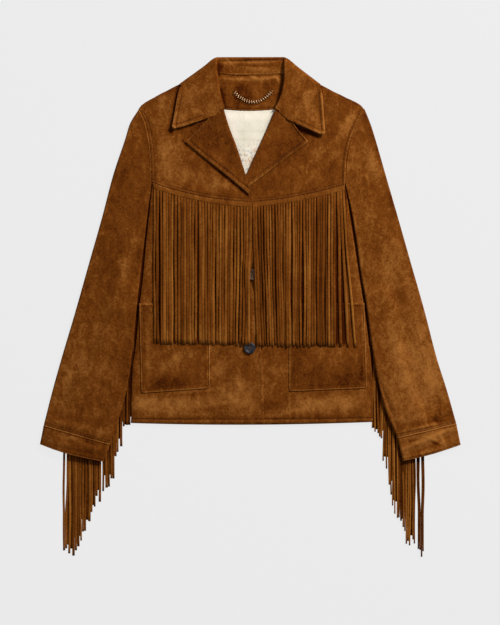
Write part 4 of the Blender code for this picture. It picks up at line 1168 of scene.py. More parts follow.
def tube_section(side, outer, inner, bow, lean, height, bulge, around, inset=0.0):
    """Closed flat outline between the outer and the inner end of a sleeve section."""
    width = math.dist(outer, inner)
    half = around // 2
    run = stations(width, (width - 34.0) / (half - 2 * len(EDGE_STATIONS) + 1))[:half]
    u = run / width
    fold = 3.4
    end = np.clip(np.minimum(run, width - run) / fold, 0.0, 1.0)
    thick = np.sqrt(1.0 - (1.0 - end) ** 2)
    loop_u = np.concatenate([u, u[::-1]])
    face = np.concatenate([np.ones(half), -np.ones(half)])
    thick = np.concatenate([thick, thick[::-1]])
    dx, dy = (inner[0] - outer[0]) / width, (inner[1] - outer[1]) / width
    offset = side * bow * np.sin(np.pi * loop_u ** lean)
    x = outer[0] + (inner[0] - outer[0]) * loop_u + dy * offset
    y = outer[1] + (inner[1] - outer[1]) * loop_u - dx * offset
    middle = height / 2.0
    top = middle + bulge * np.sin(np.pi * loop_u) + sleeve_shape(side, x, y)
    reach_z = np.where(face > 0, top, middle)
    reach_z = np.maximum(reach_z - inset, 0.25)
    z = middle + face * thick * reach_z
    lift = sleeve_lift(side, x, y)
    if inset > 0.0:
        mid_u = 0.5 + (loop_u - 0.5) * (width - 2.0 * inset) / width
        x = x + (mid_u - loop_u) * (inner[0] - outer[0])
        y = y + (mid_u - loop_u) * (inner[1] - outer[1])
    edge = np.concatenate([np.minimum(run, width - run)] * 2)
    edge[half:] = edge[half:][::-1]
    return points_of(x, y, z + lift), edge


def on_top(face, values, under=FAR):
    """Values of a tube's upper half, with one value all over the lower half."""
    whole = np.full(face.shape[:2], under)
    whole[:, :face.shape[1] // 2] = values
    return whole


def make_sleeve(side):
    """Sleeve, an open tube laid flat over its fringe, from the armhole to the cuff."""
    table = SLEEVES[side]
    data = np.array([[*outer, *inner, bow] for outer, inner, bow in table], float)
    data[0, 0:2] += (side * 0.5, 1.6)
    data[0, 2] += side * ARM_GAP
    run = (chords(data[:, 0:2]) + chords(data[:, 2:4])) / 2.0
    at = stations(run[-1], 5.0)
    rows = between(np.column_stack([run, data]), at)
    lean = ARMHOLES[side]["lean"]
    face, back, edge = [], [], []
    for station, row in zip(at, rows):
        bulge = SLEEVE_BULGE * float(ease(station / 120.0))
        outline = (side, tuple(row[0:2]), tuple(row[2:4]), row[4], lean, SLEEVE_HEIGHT, bulge, 112)
        points, near = tube_section(*outline)
        inner, _ = tube_section(*outline, inset=SKIN)
        face.append(points)
        back.append(inner)
        edge.append(near)
    face, back, edge = np.array(face), np.array(back), np.array(edge)
    half = face.shape[1] // 2
    top = face[:, :half]
    distance = side_distances(top)
    rise = edge_shape("joined", distance["top"], ())
    rise = rise + edge_shape("joined", distance["foot"], (ELBOW_STITCH,))
    up = on_top(face, rise, 0.0)
    face[..., 2] += up
    back[..., 2] += up
    seam = on_top(face, np.minimum(distance["top"], distance["foot"]))
    thread = on_top(face, np.abs(distance["foot"] - ELBOW_STITCH))
    rim = on_top(face, distance["left"])
    # Painted shade darkens the left sleeve and painted light brightens the right one; painted light runs
    # along the left sleeve's outer rim and painted shade along the right one's.
    tone = tones(face, -0.24 if side < 0 else 0.06) - side * 0.42 * fade(rim, 9.0)
    side_skin("sleeve", side, face, back, (0.27, 0.575), 0.108, "sleeve_fringe_" + side_name(side),
              wrap=True, tone=tone, edge=np.minimum(seam, FAR), thread=thread)
    sew(line_at(top, "foot", ELBOW_STITCH, 2.5, 2.5))


def make_cuff(side):
    """Cuff band, a short open tube of two skins."""
    (outer0, inner0), (outer1, inner1) = CUFFS[side]
    length = (math.dist(outer0, outer1) + math.dist(inner0, inner1)) / 2.0
    face, back = [], []
    for station in stations(length, 2.5, EDGE_STATIONS[:-2]):
        t = station / length
        outline = (side, mix(outer0, outer1, t), mix(inner0, inner1, t), CUFF_BOW[side] * t ** 1.5, 1.0,
                   SLEEVE_HEIGHT + GAP, SLEEVE_BULGE, 120)
        face.append(tube_section(*outline)[0])
        back.append(tube_section(*outline, inset=DOUBLE_WALL - 0.2)[0])
    face, back = np.array(face), np.array(back)
    top = face[:, :face.shape[1] // 2]
    distance = side_distances(top)
    ends = ("top", "foot")
    rise = sum(edge_shape("turned", distance[end], (TRIM_STITCH,)) for end in ends)
    thread = on_top(face, np.minimum(*[np.abs(distance[end] - TRIM_STITCH) for end in ends]))
    edge = on_top(face, np.minimum(distance["top"], distance["foot"]))
    face[..., 2] += on_top(face, rise, 0.0)
    side_skin("cuff", side, face, back, (0.25, 0.04), 0.0, "sleeve_fringe_" + side_name(side), wrap=True,
              tone=tones(face, -0.09 if side < 0 else 0.08), edge=edge, thread=thread)
    for end in ends:
        sew(line_at(top, end, TRIM_STITCH, 2.5, 2.5))


# ---------------------------------------------------------------- lapels and collar

def skin_normals(face):
    """Unit normals of a grid of points."""
    down = np.gradient(face, axis=0)
    across = np.gradient(face, axis=1)
    normal = np.cross(down, across)
    return normal / np.maximum(np.linalg.norm(normal, axis=2)[..., None], 1e-9)


def make_lapel(side):
    """Lapel turned back over the yoke, with its soft roll at the neck edge."""
    table = np.array([[*outer, *roll, rise] for outer, roll, rise in LAPELS[side]], float)
    tip = 2
    run = (chords(table[:, 0:2]) + chords(table[:, 2:4])) / 2.0
    upper = stations(run[tip], 4.0)
    lower = run[tip] + stations(run[-1] - run[tip], 4.0)[1:]
    at = np.concatenate([upper, lower])
    rows = between(np.column_stack([run, table]), at)
    outer = np.array([np.interp(at, run, table[:, k]) for k in (0, 1)]).T
    roll, rise = rows[:, 2:4], rows[:, 4]
    span = np.linalg.norm(outer - roll, axis=1)
    outer = outer + (roll - outer) / span[:, None] * (1.5 * fade(np.abs(at - run[tip]), 2.2))[:, None]
    span = np.linalg.norm(outer - roll, axis=1)
    near = np.array(EDGE_STATIONS)
    flat = []
    for width in span:
        scale = min(1.0, width / (2.2 * near[-1]))
        edge = near * scale
        inner = np.linspace(edge[-1], width - 3.2 * scale, 14)[1:]
        flat.append(np.concatenate([edge, inner]) / width)
    flat = np.array(flat)
    turn = np.radians([16, 34, 54, 74, 92, 112, 130])
    flat_xy = outer[:, None, :] + (roll - outer)[:, None, :] * flat[..., None]
    top = front_top(side, *xy(flat_xy)) + GAP + DOUBLE_WALL
    tilt = bell(flat * span[:, None], 12.0) * (0.6 if side < 0 else 0.5)
    wave = ripple(*xy(flat_xy), 40 + side, 0.16, 80.0)
    flat_z = top + rise[:, None] * flat ** 3 + tilt + wave * np.minimum(1.0, flat * 4.0)
    towards = (roll - outer) / span[:, None]
    start = flat_xy[:, -1]
    crown = flat_z[:, -1]
    depth = np.minimum(np.maximum(rise, 1.2) * 0.62, 2.3)
    reach_in = span * (1.0 - flat[:, -1])
    turn_xy = start[:, None, :] + towards[:, None, :] * (reach_in[:, None] * np.sin(turn))[..., None]
    turn_z = crown[:, None] - depth[:, None] * (1.0 - np.cos(turn))
    face = np.concatenate([np.dstack([flat_xy, flat_z]), np.dstack([turn_xy, turn_z])], axis=1)
    if side > 0:
        face = face[:, ::-1]
    normal = skin_normals(face)
    outer_side = side_name(side)
    edges = {outer_side: ("turned", (COLLAR_STITCH,)), "top": ("hidden", ()), "foot": ("hidden", ())}
    plain, edge, thread = shape_edges(face, edges)
    back = plain - normal * (COLLAR_SKIN - 0.3)
    # The tone holds painted light on the rolled rim and painted shade inside it, stronger on the left lapel.
    side_skin("lapel", side, plain, back, (0.10, 0.16), 0.0072, "yoke_skin_" + side_name(side),
              held="folded", tone=tones(plain, -0.18) + bead(edge, 0.36 if side < 0 else 0.2), edge=edge,
              thread=thread)
    sew(line_at(plain, outer_side, COLLAR_STITCH, 7.0, 4.0))


def collar_sections(side):
    """Leaf and fold of the collar: turn, seam, roll and outer edge with heights."""
    skin = DOUBLE_WALL / 2.0
    fold_start, fold_end = FOLD_LINE[side]
    dx, dy = fold_end[0] - fold_start[0], fold_end[1] - fold_start[1]
    length = math.hypot(dx, dy)
    inward = (-side * abs(dy) / length, -abs(dx) / length)
    out = []
    for turn, seam, roll, edge in COLLAR[side]:
        angle = math.radians(turn)
        if edge is None:
            top = FRONT_TOP + COLLAR_LIFT + GAP + skin
            radius = (top - skin) / 2.0
            inset = radius * (1.0 - math.sin(angle)) + skin
            edge = (fold_end[0] + inward[0] * inset, fold_end[1] + inward[1] * inset)
            edge_z = skin + radius * (1.0 + math.cos(angle))
            leaf_z = top + COLLAR_RISE - ROLL_HALF
        else:
            edge_z = float(front_top(side, *edge)) + GAP + skin
            leaf_z = float(front_top(side, *mix(roll, edge, 0.2))) + GAP + skin + COLLAR_RISE - ROLL_HALF
        back_z = skin + ROLL_HALF
        roll_z = back_z + (leaf_z - back_z) * (0.5 + 0.5 * math.cos(angle))
        seam_z = float(over_back(*seam)) + FACING_WALL + GAP + skin
        out.append((angle, (*seam, seam_z), (*roll, roll_z), (*edge, edge_z)))
    return out


def collar_profile(side, section):
    """Points of one collar section: seam, stand, roll, fall and outer edge."""
    angle, seam, roll, edge = section
    centre = Vector(roll)
    towards = Vector((edge[0] - roll[0], edge[1] - roll[1], 0.0)).normalized()
    across = Vector((side * 0.6 * math.sin(angle), 0.8 * math.sin(angle), math.cos(angle)))
    half = ROLL_HALF
    stand = centre - across * half + towards * half
    fall = centre + across * half + towards * half
    points = [Vector(seam), (Vector(seam) + stand) / 2.0, stand,
              centre - across * half * 0.7 + towards * half * 0.25, centre,
              centre + across * half * 0.7 + towards * half * 0.25, fall]
    points += [fall.lerp(Vector(edge), t) for t in (0.33, 0.66, 1.0)]
    return [tuple(point) for point in points]


def make_collar():
    """Collar in one piece: left leaf, fold, stand inside the neck, fall under the back, right leaf."""
    data = COLLAR_BACK
    left, right = collar_sections(-1), collar_sections(1)
    table = [collar_profile(-1, section) for section in left]
    for index in range(1, data["steps"]):
        t = index / data["steps"]
        dip = 1.0 - (2.0 * t - 1.0) ** 2
        seam, roll, edge = [list(mix(p, q, t)) for p, q in zip(left[-1][1:], right[-1][1:])]
        seam[1] -= data["seam_dip"] * min(1.0, dip * 1.5)
        edge[1] -= (edge[1] - data["fall_y"]) * min(1.0, dip * 1.2)
        table.append(collar_profile(-1, (math.pi, seam, roll, edge)))
    table += [collar_profile(1, section) for section in right[::-1]]
    table = np.array(table)
    rows = []
    for section in table:
        run = chords(section)
        fall = stations(run[-1] - run[6], 5.0)
        fall = np.interp(np.linspace(0, 1, 30), np.linspace(0, 1, len(fall)), fall)
        even = np.concatenate([np.linspace(0.0, run[2], 21)[:-1], np.linspace(run[2], run[6], 11)[:-1],
                               run[6] + fall])
        rows.append(between(np.column_stack([run, section]), even))
    rows = np.array(rows)
    run = chords(table[:, 6])
    outer_run = chords(table[:, 9])
    run = np.maximum.accumulate((run + outer_run) / 2.0 + np.arange(len(run)) * 1e-3)
    at = stations(run[-1], 2.6)
    flat = rows.reshape(len(rows), -1)
    middle = between(np.column_stack([run, flat]), at).reshape(len(at), -1, 3)
    middle = round_corner(round_corner(middle, 0, -1, 9.0), -1, -1, 9.0)
    away = side_distances(middle)
    x = middle[..., 0]
    sewn = np.zeros(middle.shape[:2])
    for side, end, row in ((-1, "top", 0), (1, "foot", -1)):
        line = middle[row, 31:-6]
        shift = value_at(GORGE[side], x) - value_at(line[:, :2].tolist(), x)
        on_leaf = (side * x > side * GORGE[side][0][0]) & (side * x < 126.0) & (away["left"] > 18.0)
        middle[..., 1] += np.clip(shift, -9.0, 9.0) * fade(away[end], 16.0) * on_leaf
        inner = 1.0 - ease((side * x - 60.0) / 12.0)
        sewn += inner * fade(away[end], 6.0) * (away["left"] > 18.0)
    middle[..., 2] -= 1.7 * sewn
    leaf = ease((away["left"] - 36.0) / 14.0)
    free = ease((away["left"] - 52.0) / 18.0)
    front = 1.0 - ease((middle[..., 1] - 384.0) / 14.0)
    tips = fade(np.minimum(away["top"], away["foot"]), 16.0) * free
    middle[..., 2] += front * (1.9 * fade(away["right"], 12.0) + 2.3 * tips)
    lens = np.exp(-((middle[..., 0] - 98.0) / 22.0) ** 2 - away["foot"] / 12.0)
    middle[..., 2] += 1.5 * lens * free
    middle[..., 2] += 0.85 * bump_sum(COLLAR_FOLDS, *xy(middle)) * (away["left"] < 34.0)
    normal = skin_normals(middle)
    wave = ripple(*xy(middle), 52, 0.16, 90.0)[..., None]
    edges = {end: ("turned", (COLLAR_STITCH,)) for end in ("top", "foot", "right")}
    loose = np.clip(leaf - 2.5 * sewn, 0.0, 1.0)
    masks = {"top": loose, "foot": loose, "right": front}
    shaped, edge, thread = shape_edges(middle, edges, masks)
    rise = (shaped - middle)[..., 2:3]
    face = middle + normal * (COLLAR_SKIN / 2.0 + rise) + normal * wave * 0.6 * leaf[..., None]
    back = middle - normal * (COLLAR_SKIN / 2.0)
    sunk = 1.6 * bell(away["left"], 6.0) * (np.abs(face[..., 0]) < 66.0) * (face[..., 1] > 400.0)
    face[..., 2] -= sunk
    back[..., 2] -= sunk
    # The tone holds painted light on the rolled rims and painted shade inside them.
    obj = shell("collar_skin", face, back, SUEDE,
                dict(tone=tones(face, 0.0) + bead(edge, 0.26), edge=edge, thread=thread))
    declare(obj, ["collar_back", "collar_left", "collar_right"])
    top, foot = [line_at(face, end, COLLAR_STITCH) for end in ("top", "foot")]
    outer = line_at(face, "right", COLLAR_STITCH, 7.0, 7.0)
    shown = outer[:, 1] < 398.0
    half = len(outer) // 2
    sew(top[10:-2], outer[:half][shown[:half]])
    sew(outer[half:][shown[half:]], foot[10:-2][::-1])
    line = line_at(face, "left", STAND_STITCH)
    sew(line[(np.abs(line[:, 0]) < 56.0) & (line[:, 1] > 405.0)])


# ---------------------------------------------------------------- fringe

RIBBON = [(-0.5, 0.0), (-0.42, 0.34), (-0.16, 0.5), (0.16, 0.5), (0.42, 0.34), (0.5, 0.0), (0.36, -0.5),
          (-0.36, -0.5)]


def ribbon(centre, width, thick, roll):
    """Points and quads of one strand along a line of centres, cut square at both ends."""
    tangent = np.gradient(centre, axis=0)
    tangent /= np.linalg.norm(tangent, axis=1)[:, None]
    flat = np.stack([-tangent[:, 1], tangent[:, 0], 0.0 * tangent[:, 0]], axis=1)
    flat /= np.linalg.norm(flat, axis=1)[:, None]
    up = np.cross(tangent, flat)
    up *= np.sign(up[:, 2:3])
    flat = np.cross(up, tangent)
    c, s = np.cos(roll)[:, None], np.sin(roll)[:, None]
    across, out = flat * c + up * s, up * c - flat * s
    section = np.array(RIBBON)
    points = (centre[:, None, :] + across[:, None, :] * (section[None, :, 0] * width[:, None])[..., None]
              + out[:, None, :] * (section[None, :, 1] * thick)[..., None])
    count = len(RIBBON)
    quads = grid_quads(len(centre), count, wrap=True)
    caps = []
    for base, turn in ((0, 1), ((len(centre) - 1) * count, -1)):
        cap = np.array([[0, 1, 6, 7], [1, 4, 5, 6], [1, 2, 3, 4]])
        caps.append((cap + base)[:, ::turn])
    return points.reshape(-1, 3), np.concatenate([quads] + caps)


def spread_apart(lines, widths, space):
    """Push strands sideways at each height until none overlap."""
    for _ in range(60):
        for station in range(lines.shape[1]):
            x = lines[:, station]
            need = (widths[1:, station] + widths[:-1, station]) / 2.0 + space
            short = np.maximum(need - np.diff(x), 0.0) / 2.0
            x[1:] += short
            x[:-1] -= short
            lines[:, station] = x
    return lines


def fringe_piece(part, side, strands, thick, strip):
    """Strands (centres, width, roll and tone of each) and the strip that they are cut from, in one mesh."""
    points, quads, tone, base = [], [], [], 0
    for centre, width, roll, shade in zip(*strands):
        ring, faces = ribbon(centre, width, thick, roll)
        points.append(ring)
        quads.append(faces + base)
        tone.append(np.repeat(shade, len(RIBBON)))
        base += len(ring)
    backing, faces, _ = closed_skin(*strip)
    points.append(backing)
    quads.append(outward(backing, faces) + base)
    tone.append(np.full(len(backing), 0.1))
    obj = mesh_piece(part + "_skin_" + side_name(side), np.concatenate(points), np.concatenate(quads),
                     FRINGE_SUEDE, dict(tone=np.concatenate(tone)))
    declare(obj, [part + "_" + side_name(side)])


def seam_y(side, x):
    """Height of the yoke seam at x."""
    seam = YOKE_SEAM[side]
    left, right = sorted((seam["arm"], seam["centre"]))
    u = np.clip((x - left[0]) / (right[0] - left[0]), 0.0, 1.0)
    length = math.dist(left, right)
    drop = 4.0 * seam["bow"] * u * (1.0 - u) * (right[0] - left[0]) / length
    return left[1] + (right[1] - left[1]) * u - drop


def strand_floor(side, x, y):
    """What a chest strand lies on: the front, the pocket and the buttons, in smooth steps."""
    panel = ease((x_at(CENTRE_FRONT, y) + 9.0 - x) / 6.0)
    z = draped(side, x, y) if side < 0 else draped(1, x, y) * (1 - panel) + draped(-1, x, y) * panel
    (left, _), (right, top) = POCKETS[side]["top"]
    on = ease((x - left + 7.0) / 3.0) * ease((right + 7.0 - x) / 3.0) * ease((top + 13.0 - y) / 10.0)
    z = z + on * (TRIM_WALL + GAP)
    for bx, by in BUTTONS.values():
        over = ease((BUTTON_RADIUS + 6.0 - np.abs(x - bx)) / 3.0) * ease((34.0 - np.abs(y - by)) / 22.0)
        z = z + over * (BUTTON_HEIGHT - 0.1)
    return z


def make_chest_fringe(side):
    """Fringe sewn under the yoke, each strand with its own width, sway and roll."""
    data = CHEST_FRINGE[side]
    rng = np.random.default_rng(data["seed"])
    count, steps, thick = data["count"], 34, 1.15
    index = np.arange(count)
    share = index / (count - 1)
    pitch = (data["end"] - data["start"]) / (count - 1)
    root = data["start"] + pitch * index
    tip = data["tip_start"] + (data["tip_end"] - data["tip_start"]) * share
    tip = tip + 2.0 * np.sin(index * 2.4) * np.sin(index * 0.7) + rng.uniform(-1.2, 1.2, count)
    from_centre = share if side > 0 else 1.0 - share
    drift = data["centre_drift"] * ease(1.0 - 2.2 * from_centre)
    drift = drift + data["side_drift"] * ease(8.0 * from_centre - 7.0)
    if side > 0:
        drift[-1] += 13.0
        drift[-2] += 5.0
    top = seam_y(side, root) - 3.6
    fallen = np.linspace(0.0, 1.0, steps) ** 1.15
    y = top[:, None] + (tip - top)[:, None] * fallen
    x = root[:, None] + drift[:, None] * fallen ** 1.3
    cluster = np.cumsum(rng.normal(0.0, 1.0, count))
    cluster -= np.convolve(np.pad(cluster, 4, mode="edge"), np.ones(9) / 9.0, mode="valid")
    x = x + np.clip(1.5 * cluster, -2.9, 2.9)[:, None] * (0.35 + 0.65 * ease(fallen * 3.0))
    for gap, y_gap in CHEST_OPENINGS[side]:
        pull = 1.6 * fade(np.abs(x - gap), 7.0) * bell(y - y_gap, 80.0)
        x = x + np.sign(root - gap)[:, None] * pull * ease(fallen * 2.0)
    wave = rng.uniform(130.0, 300.0, (count, 1))
    phase = rng.uniform(0.0, 2.0 * math.pi, (count, 1))
    x = x + 0.55 * np.sin(2.0 * math.pi * y / wave + phase) * ease(fallen * 3.0)
    near_button = bell(y - BUTTONS["button_upper"][1], 46.0)
    if side < 0:
        x[-1] -= 2.4 * near_button[-1]
        x[-2] -= 1.2 * near_button[-2]
    else:
        x[0] += 1.6 * near_button[0]
    widths = pitch * (0.84 + rng.uniform(-0.2, 0.16, (count, 1))) * np.ones((1, steps))
    widths = widths * (1.0 + 0.05 * np.sin(y / 23.0 + phase))
    x = spread_apart(x, widths, 0.05)
    turning = 7.0 * np.sin(2.0 * math.pi * y / (wave * 0.8) + phase * 1.7)
    roll = np.radians(rng.normal(0.0, 7.0, (count, 1)) + turning)
    roll = np.clip(roll, -0.3, 0.3) * ease(fallen * 4.0)
    lift = FRINGE_GAP + thick / 2.0 + 0.25 + rng.uniform(0.0, 0.7, (count, 1)) * ease(fallen * 3.0)
    lift = (lift + np.abs(np.sin(roll)) * widths * 0.3) * (1.0 - 0.55 * ease(fallen * 8.0 - 7.0))
    z = strand_floor(side, x, y) + lift - 0.95 * (1.0 - ease(fallen * 7.0))
    centres = points_of(x, y, z)
    shades = np.clip(rng.normal(0.02, 0.24, (count, 1)), -0.5, 0.5) + 0.12 * np.sin(y / 37.0 + phase)
    shades = shades + bump_sum(CHEST_SHADES, x, y)
    shades = 0.1 + (shades - 0.1) * ease(fallen * 9.0)
    ends = root[0] - pitch * 0.42, root[-1] + pitch * 0.42
    strip_x = np.tile(np.linspace(*ends, count * 2), (5, 1))
    strip_y = seam_y(side, strip_x) + np.array([-0.3, -1.6, -3.2, -5.0, -7.4])[:, None]
    face = points_of(strip_x, strip_y, draped(side, strip_x, strip_y) + 1.05)
    fringe_piece("chest_fringe", side, (centres, widths, roll, shades), thick, (face, below(face, 0.95)))


def make_sleeve_fringe(side):
    """Fringe of the elbow seam in two layers, lying under the sleeve and hanging out below it."""
    rng = np.random.default_rng(31 + side)
    roots, tips, steps, thick = SLEEVE_ROOTS[side], SLEEVE_TIPS[side], 30, 0.85
    first, last = FRINGE_ENDS[side]
    pitch = (last - first) / (SLEEVE_STRANDS - 1)
    fallen = np.linspace(0.0, 1.0, steps)
    centres, widths, rolls, shades = [], [], [], []
    upper = None
    for layer, count in ((1, SLEEVE_STRANDS), (0, SLEEVE_STRANDS - 1)):
        root = first + pitch * (np.arange(count) + 0.5 * (1 - layer))
        top = value_at(roots, root) - 2.0
        phase = rng.uniform(0.0, 2.0 * math.pi, (count, 1))
        if layer == 1:
            tip = value_at(tips, root) + rng.uniform(-9.0, 9.0, count)
            y = top[:, None] + (tip - top)[:, None] * fallen
            wave = rng.uniform(180.0, 330.0, (count, 1))
            sway = rng.normal(0.0, 1.8, (count, 1)) + (0.6 if side > 0 else -0.4)
            x = root[:, None] + sway * fallen ** 1.6
            x = x + (np.sin(2.0 * math.pi * y / wave + phase) - np.sin(phase)) * ease(fallen * 2.0)
            for gap, wide, more in FRINGE_OPENINGS[side]:
                pull = wide * ease(fallen * 4.0) + more * ease(fallen * 2.0 - 0.8)
                x = x + np.sign(root - gap)[:, None] * pull * fade(np.abs(x - gap), 6.0)
            width = pitch * (0.82 + rng.uniform(-0.18, 0.12, (count, 1))) * np.ones((1, steps))
            x = np.clip(spread_apart(x, width, 0.05), -376.0, 376.0)
            upper = (x, y, tip, width)
        else:
            shorter = rng.uniform(2.0, 30.0, count) * ease((np.abs(root) - 222.0) / 20.0)
            tip = np.maximum(upper[2][1:], upper[2][:-1]) + shorter
            y = top[:, None] + (tip - top)[:, None] * fallen
            beside = np.array([[np.interp(-y[i], -upper[1][i + k], upper[0][i + k]) for k in (0, 1)]
                               for i in range(count)])
            x = beside.mean(axis=1)
            width = beside[:, 1] - beside[:, 0] - (upper[3][:-1] + upper[3][1:])[:, :1] / 2.0 + 1.4
            width = np.clip(width, 0.5 * pitch, 1.5 * pitch)
            kept = np.array([min(abs(r - gap[0]) for gap in FRINGE_OPENINGS[side]) >= pitch * 0.55
                             for r in root])
            x, y, width, phase, count = x[kept], y[kept], width[kept], phase[kept], kept.sum()
        roll = 0.07 * np.sin(y / 40.0 + phase) * ease(fallen * 3.0)
        z = 0.62 + layer * 1.2 + rng.uniform(0.0, 0.1, (count, 1)) + 0.0 * y
        shade = np.clip(rng.normal(0.0, 0.3, (count, 1)), -0.5, 0.5) + 0.12 * np.sin(y / 31.0 + phase)
        # Painted shade on the lower layer, which shows only in the gaps of the upper one.
        shade = shade - (0.9 if layer == 0 else 0.0) + (0.2 if side < 0 else 0.28)
        # Painted shadow of the sleeve's inner edge on the strands beyond it, deeper on the right.
        inner = x_at([row[1] for row in SLEEVES[side]] + [CUFFS[side][1][1]], y)
        beyond = np.maximum(side * (inner - x), 0.0)
        shaded = fade(beyond, 6.0) * (beyond > 0.0)
        shade = shade - (1.0 if side > 0 else 0.45) * shaded
        cuff = value_at([CUFFS[side][1][0], CUFFS[side][1][1]], x)
        shade = shade - (0.9 if side > 0 else 0.0) * ease((np.abs(x) - 297.0) / 3.0)
        # Painted shadow under the cuff's foot.
        shade = shade - 0.8 * fade(np.maximum(cuff - y, 0.0), 9.0) * (np.abs(x) > abs(CUFFS[side][1][1][0]))
        # Painted shade in the gap between sleeve and body, deepest on the left.
        shade = shade - (1.3 if side < 0 else 0.3) * fade(np.abs(np.abs(x) - 214.0), 9.0)
        centres += list(points_of(x, y, z))
        widths += list(width)
        rolls += list(roll)
        shades += list(shade)
    strip_x = np.tile(np.linspace(first - 1.5, last + 1.5, SLEEVE_STRANDS), (4, 1))
    strip_y = value_at(roots, strip_x) + np.array([8.6, 6.0, 2.5, -3.2])[:, None]
    face = points_of(strip_x, strip_y, 0.0 * strip_x + 2.1)
    fringe_piece("sleeve_fringe", side, (centres, widths, rolls, shades), thick, (face, below(face, 1.7)))


# ---------------------------------------------------------------- buttons, stitches and chain

# Half of a button's section: radius and height. HOLE is how far its holes are from its two middle lines.
BUTTON_PROFILE = [(0.0, 1.9), (0.8, 1.9), (1.6, 1.92), (2.4, 1.95), (3.2, 2.0), (4.2, 2.05), (5.4, 2.15),
                  (6.4, 2.4), (7.2, 2.85), (8.0, 3.12), (8.8, 3.2), (9.5, 3.05), (10.0, 2.6), (10.3, 1.9),
                  (10.2, 1.2), (9.6, 0.5), (8.4, 0.1), (5.0, 0.0), (1.0, 0.0)]
HOLE = 1.7


def make_button(node):
    """Dished horn button with a rolled rim, four holes and crossed thread."""
    x0, y0 = BUTTONS[node]
    low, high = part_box(node)
    base, top = low.z / MM, high.z / MM
    radius = (high.x - low.x) / MM / 2.0
    around = 48
    turn = np.linspace(0.0, 2.0 * math.pi, around, endpoint=False)
    scale, rise = radius / BUTTON_RADIUS, (top - base) / BUTTON_HEIGHT
    rings = []
    for r, z in BUTTON_PROFILE:
        r = max(r, 0.02) * scale
        rings.append(points_of(x0 + r * np.cos(turn), y0 + r * np.sin(turn), base + z * rise + 0 * turn))
    points = np.array(rings)
    for hx, hy in ((-1, -1), (1, -1), (1, 1), (-1, 1)):
        away = np.hypot(points[..., 0] - x0 - hx * HOLE, points[..., 1] - y0 - hy * HOLE)
        points[:8, :, 2] -= 1.1 * np.exp(-(away[:8] / 0.95) ** 4)
    flat = points.reshape(-1, 3)
    quads = grid_quads(len(BUTTON_PROFILE), around, wrap=True)
    ends = []
    for first, flip in ((0, 1), ((len(BUTTON_PROFILE) - 1) * around, -1)):
        cap = [[i, i + 1, around - 2 - i, around - 1 - i] for i in range(around // 2 - 1)]
        ends.append((first + np.array(cap))[:, ::flip])
    quads = np.concatenate([quads] + ends)
    obj = mesh_piece(node + "_horn", flat, quads, BROWN_HORN if node == "button_upper" else HORN, {})
    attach(obj, "root")
    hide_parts(node)
    for shift in (-HOLE, HOLE):
        thread_paths.append(np.array([[x0 + end, y0 + shift, base + 2.15 * rise] for end in (-1.9, 1.9)]))


def even_steps(tree, given):
    """Points at an even pitch along the paths, and the turn that follows each path."""
    curve = add_node(tree, 'GeometryNodeMeshToCurve', {"Mesh": given["Paths"]})
    even = add_node(tree, 'GeometryNodeResampleCurve', {"Curve": curve.outputs[0]}, mode='LENGTH')
    tree.links.new(given["Pitch"], even.inputs["Length"])
    tangent = add_node(tree, 'GeometryNodeInputTangent')
    turn = add_node(tree, 'FunctionNodeAlignRotationToVector', {"Vector": tangent.outputs[0]}, axis='X')
    return even.outputs[0], turn.outputs[0]


def spun(tree, turn, **angles):
    """A turn with a further turn of its own."""
    angle = add_node(tree, 'ShaderNodeCombineXYZ', angles)
    euler = add_node(tree, 'FunctionNodeEulerToRotation', {0: angle.outputs[0]})
    node = add_node(tree, 'FunctionNodeRotateRotation', {"Rotation": turn}, rotation_space='LOCAL')
    tree.links.new(euler.outputs[0], node.inputs["Rotate By"])
    return node.outputs[0]


def repeated(tree, steps, shape, turn, **transform):
    """A shape, changed and set at each step with a turn."""
    item = add_node(tree, 'GeometryNodeTransform', {"Geometry": shape.outputs["Mesh"], **transform})
    return add_node(tree, 'GeometryNodeInstanceOnPoints',
                    {"Points": steps, "Instance": item.outputs[0], "Rotation": turn}).outputs[0]


def finish_tree(tree, placed, material, out):
    """Make the placed shapes real and smooth, in their material."""
    real = add_node(tree, 'GeometryNodeRealizeInstances', {"Geometry": placed})
    smooth = add_node(tree, 'GeometryNodeSetShadeSmooth', {"Geometry": real.outputs[0]})
    done = add_node(tree, 'GeometryNodeSetMaterial', {"Geometry": smooth.outputs[0], "Material": material})
    tree.links.new(done.outputs[0], out["Mesh"])
    return tree


def stitch_tree():
    """Stitches set along paths, each a plump oval of thread."""
    tree, given, out = new_tree(
        "thread_stitches", 'GeometryNodeTree',
        {"Paths": 'NodeSocketGeometry', "Pitch": 0.0036, "Length": 0.0029, "Thickness": 0.0008, "Turn": 0.0,
         "Thread": 'NodeSocketMaterial'}, {"Mesh": 'NodeSocketGeometry'})
    steps, turn = even_steps(tree, given)
    oval = add_node(tree, 'GeometryNodeMeshUVSphere', {"Segments": 6, "Rings": 4, "Radius": 0.5})
    size = add_node(tree, 'ShaderNodeCombineXYZ',
                    {"X": given["Length"], "Y": given["Thickness"], "Z": given["Thickness"]})
    placed = repeated(tree, steps, oval, spun(tree, turn, Z=given["Turn"]), Scale=size.outputs[0])
    return finish_tree(tree, placed, given["Thread"], out)


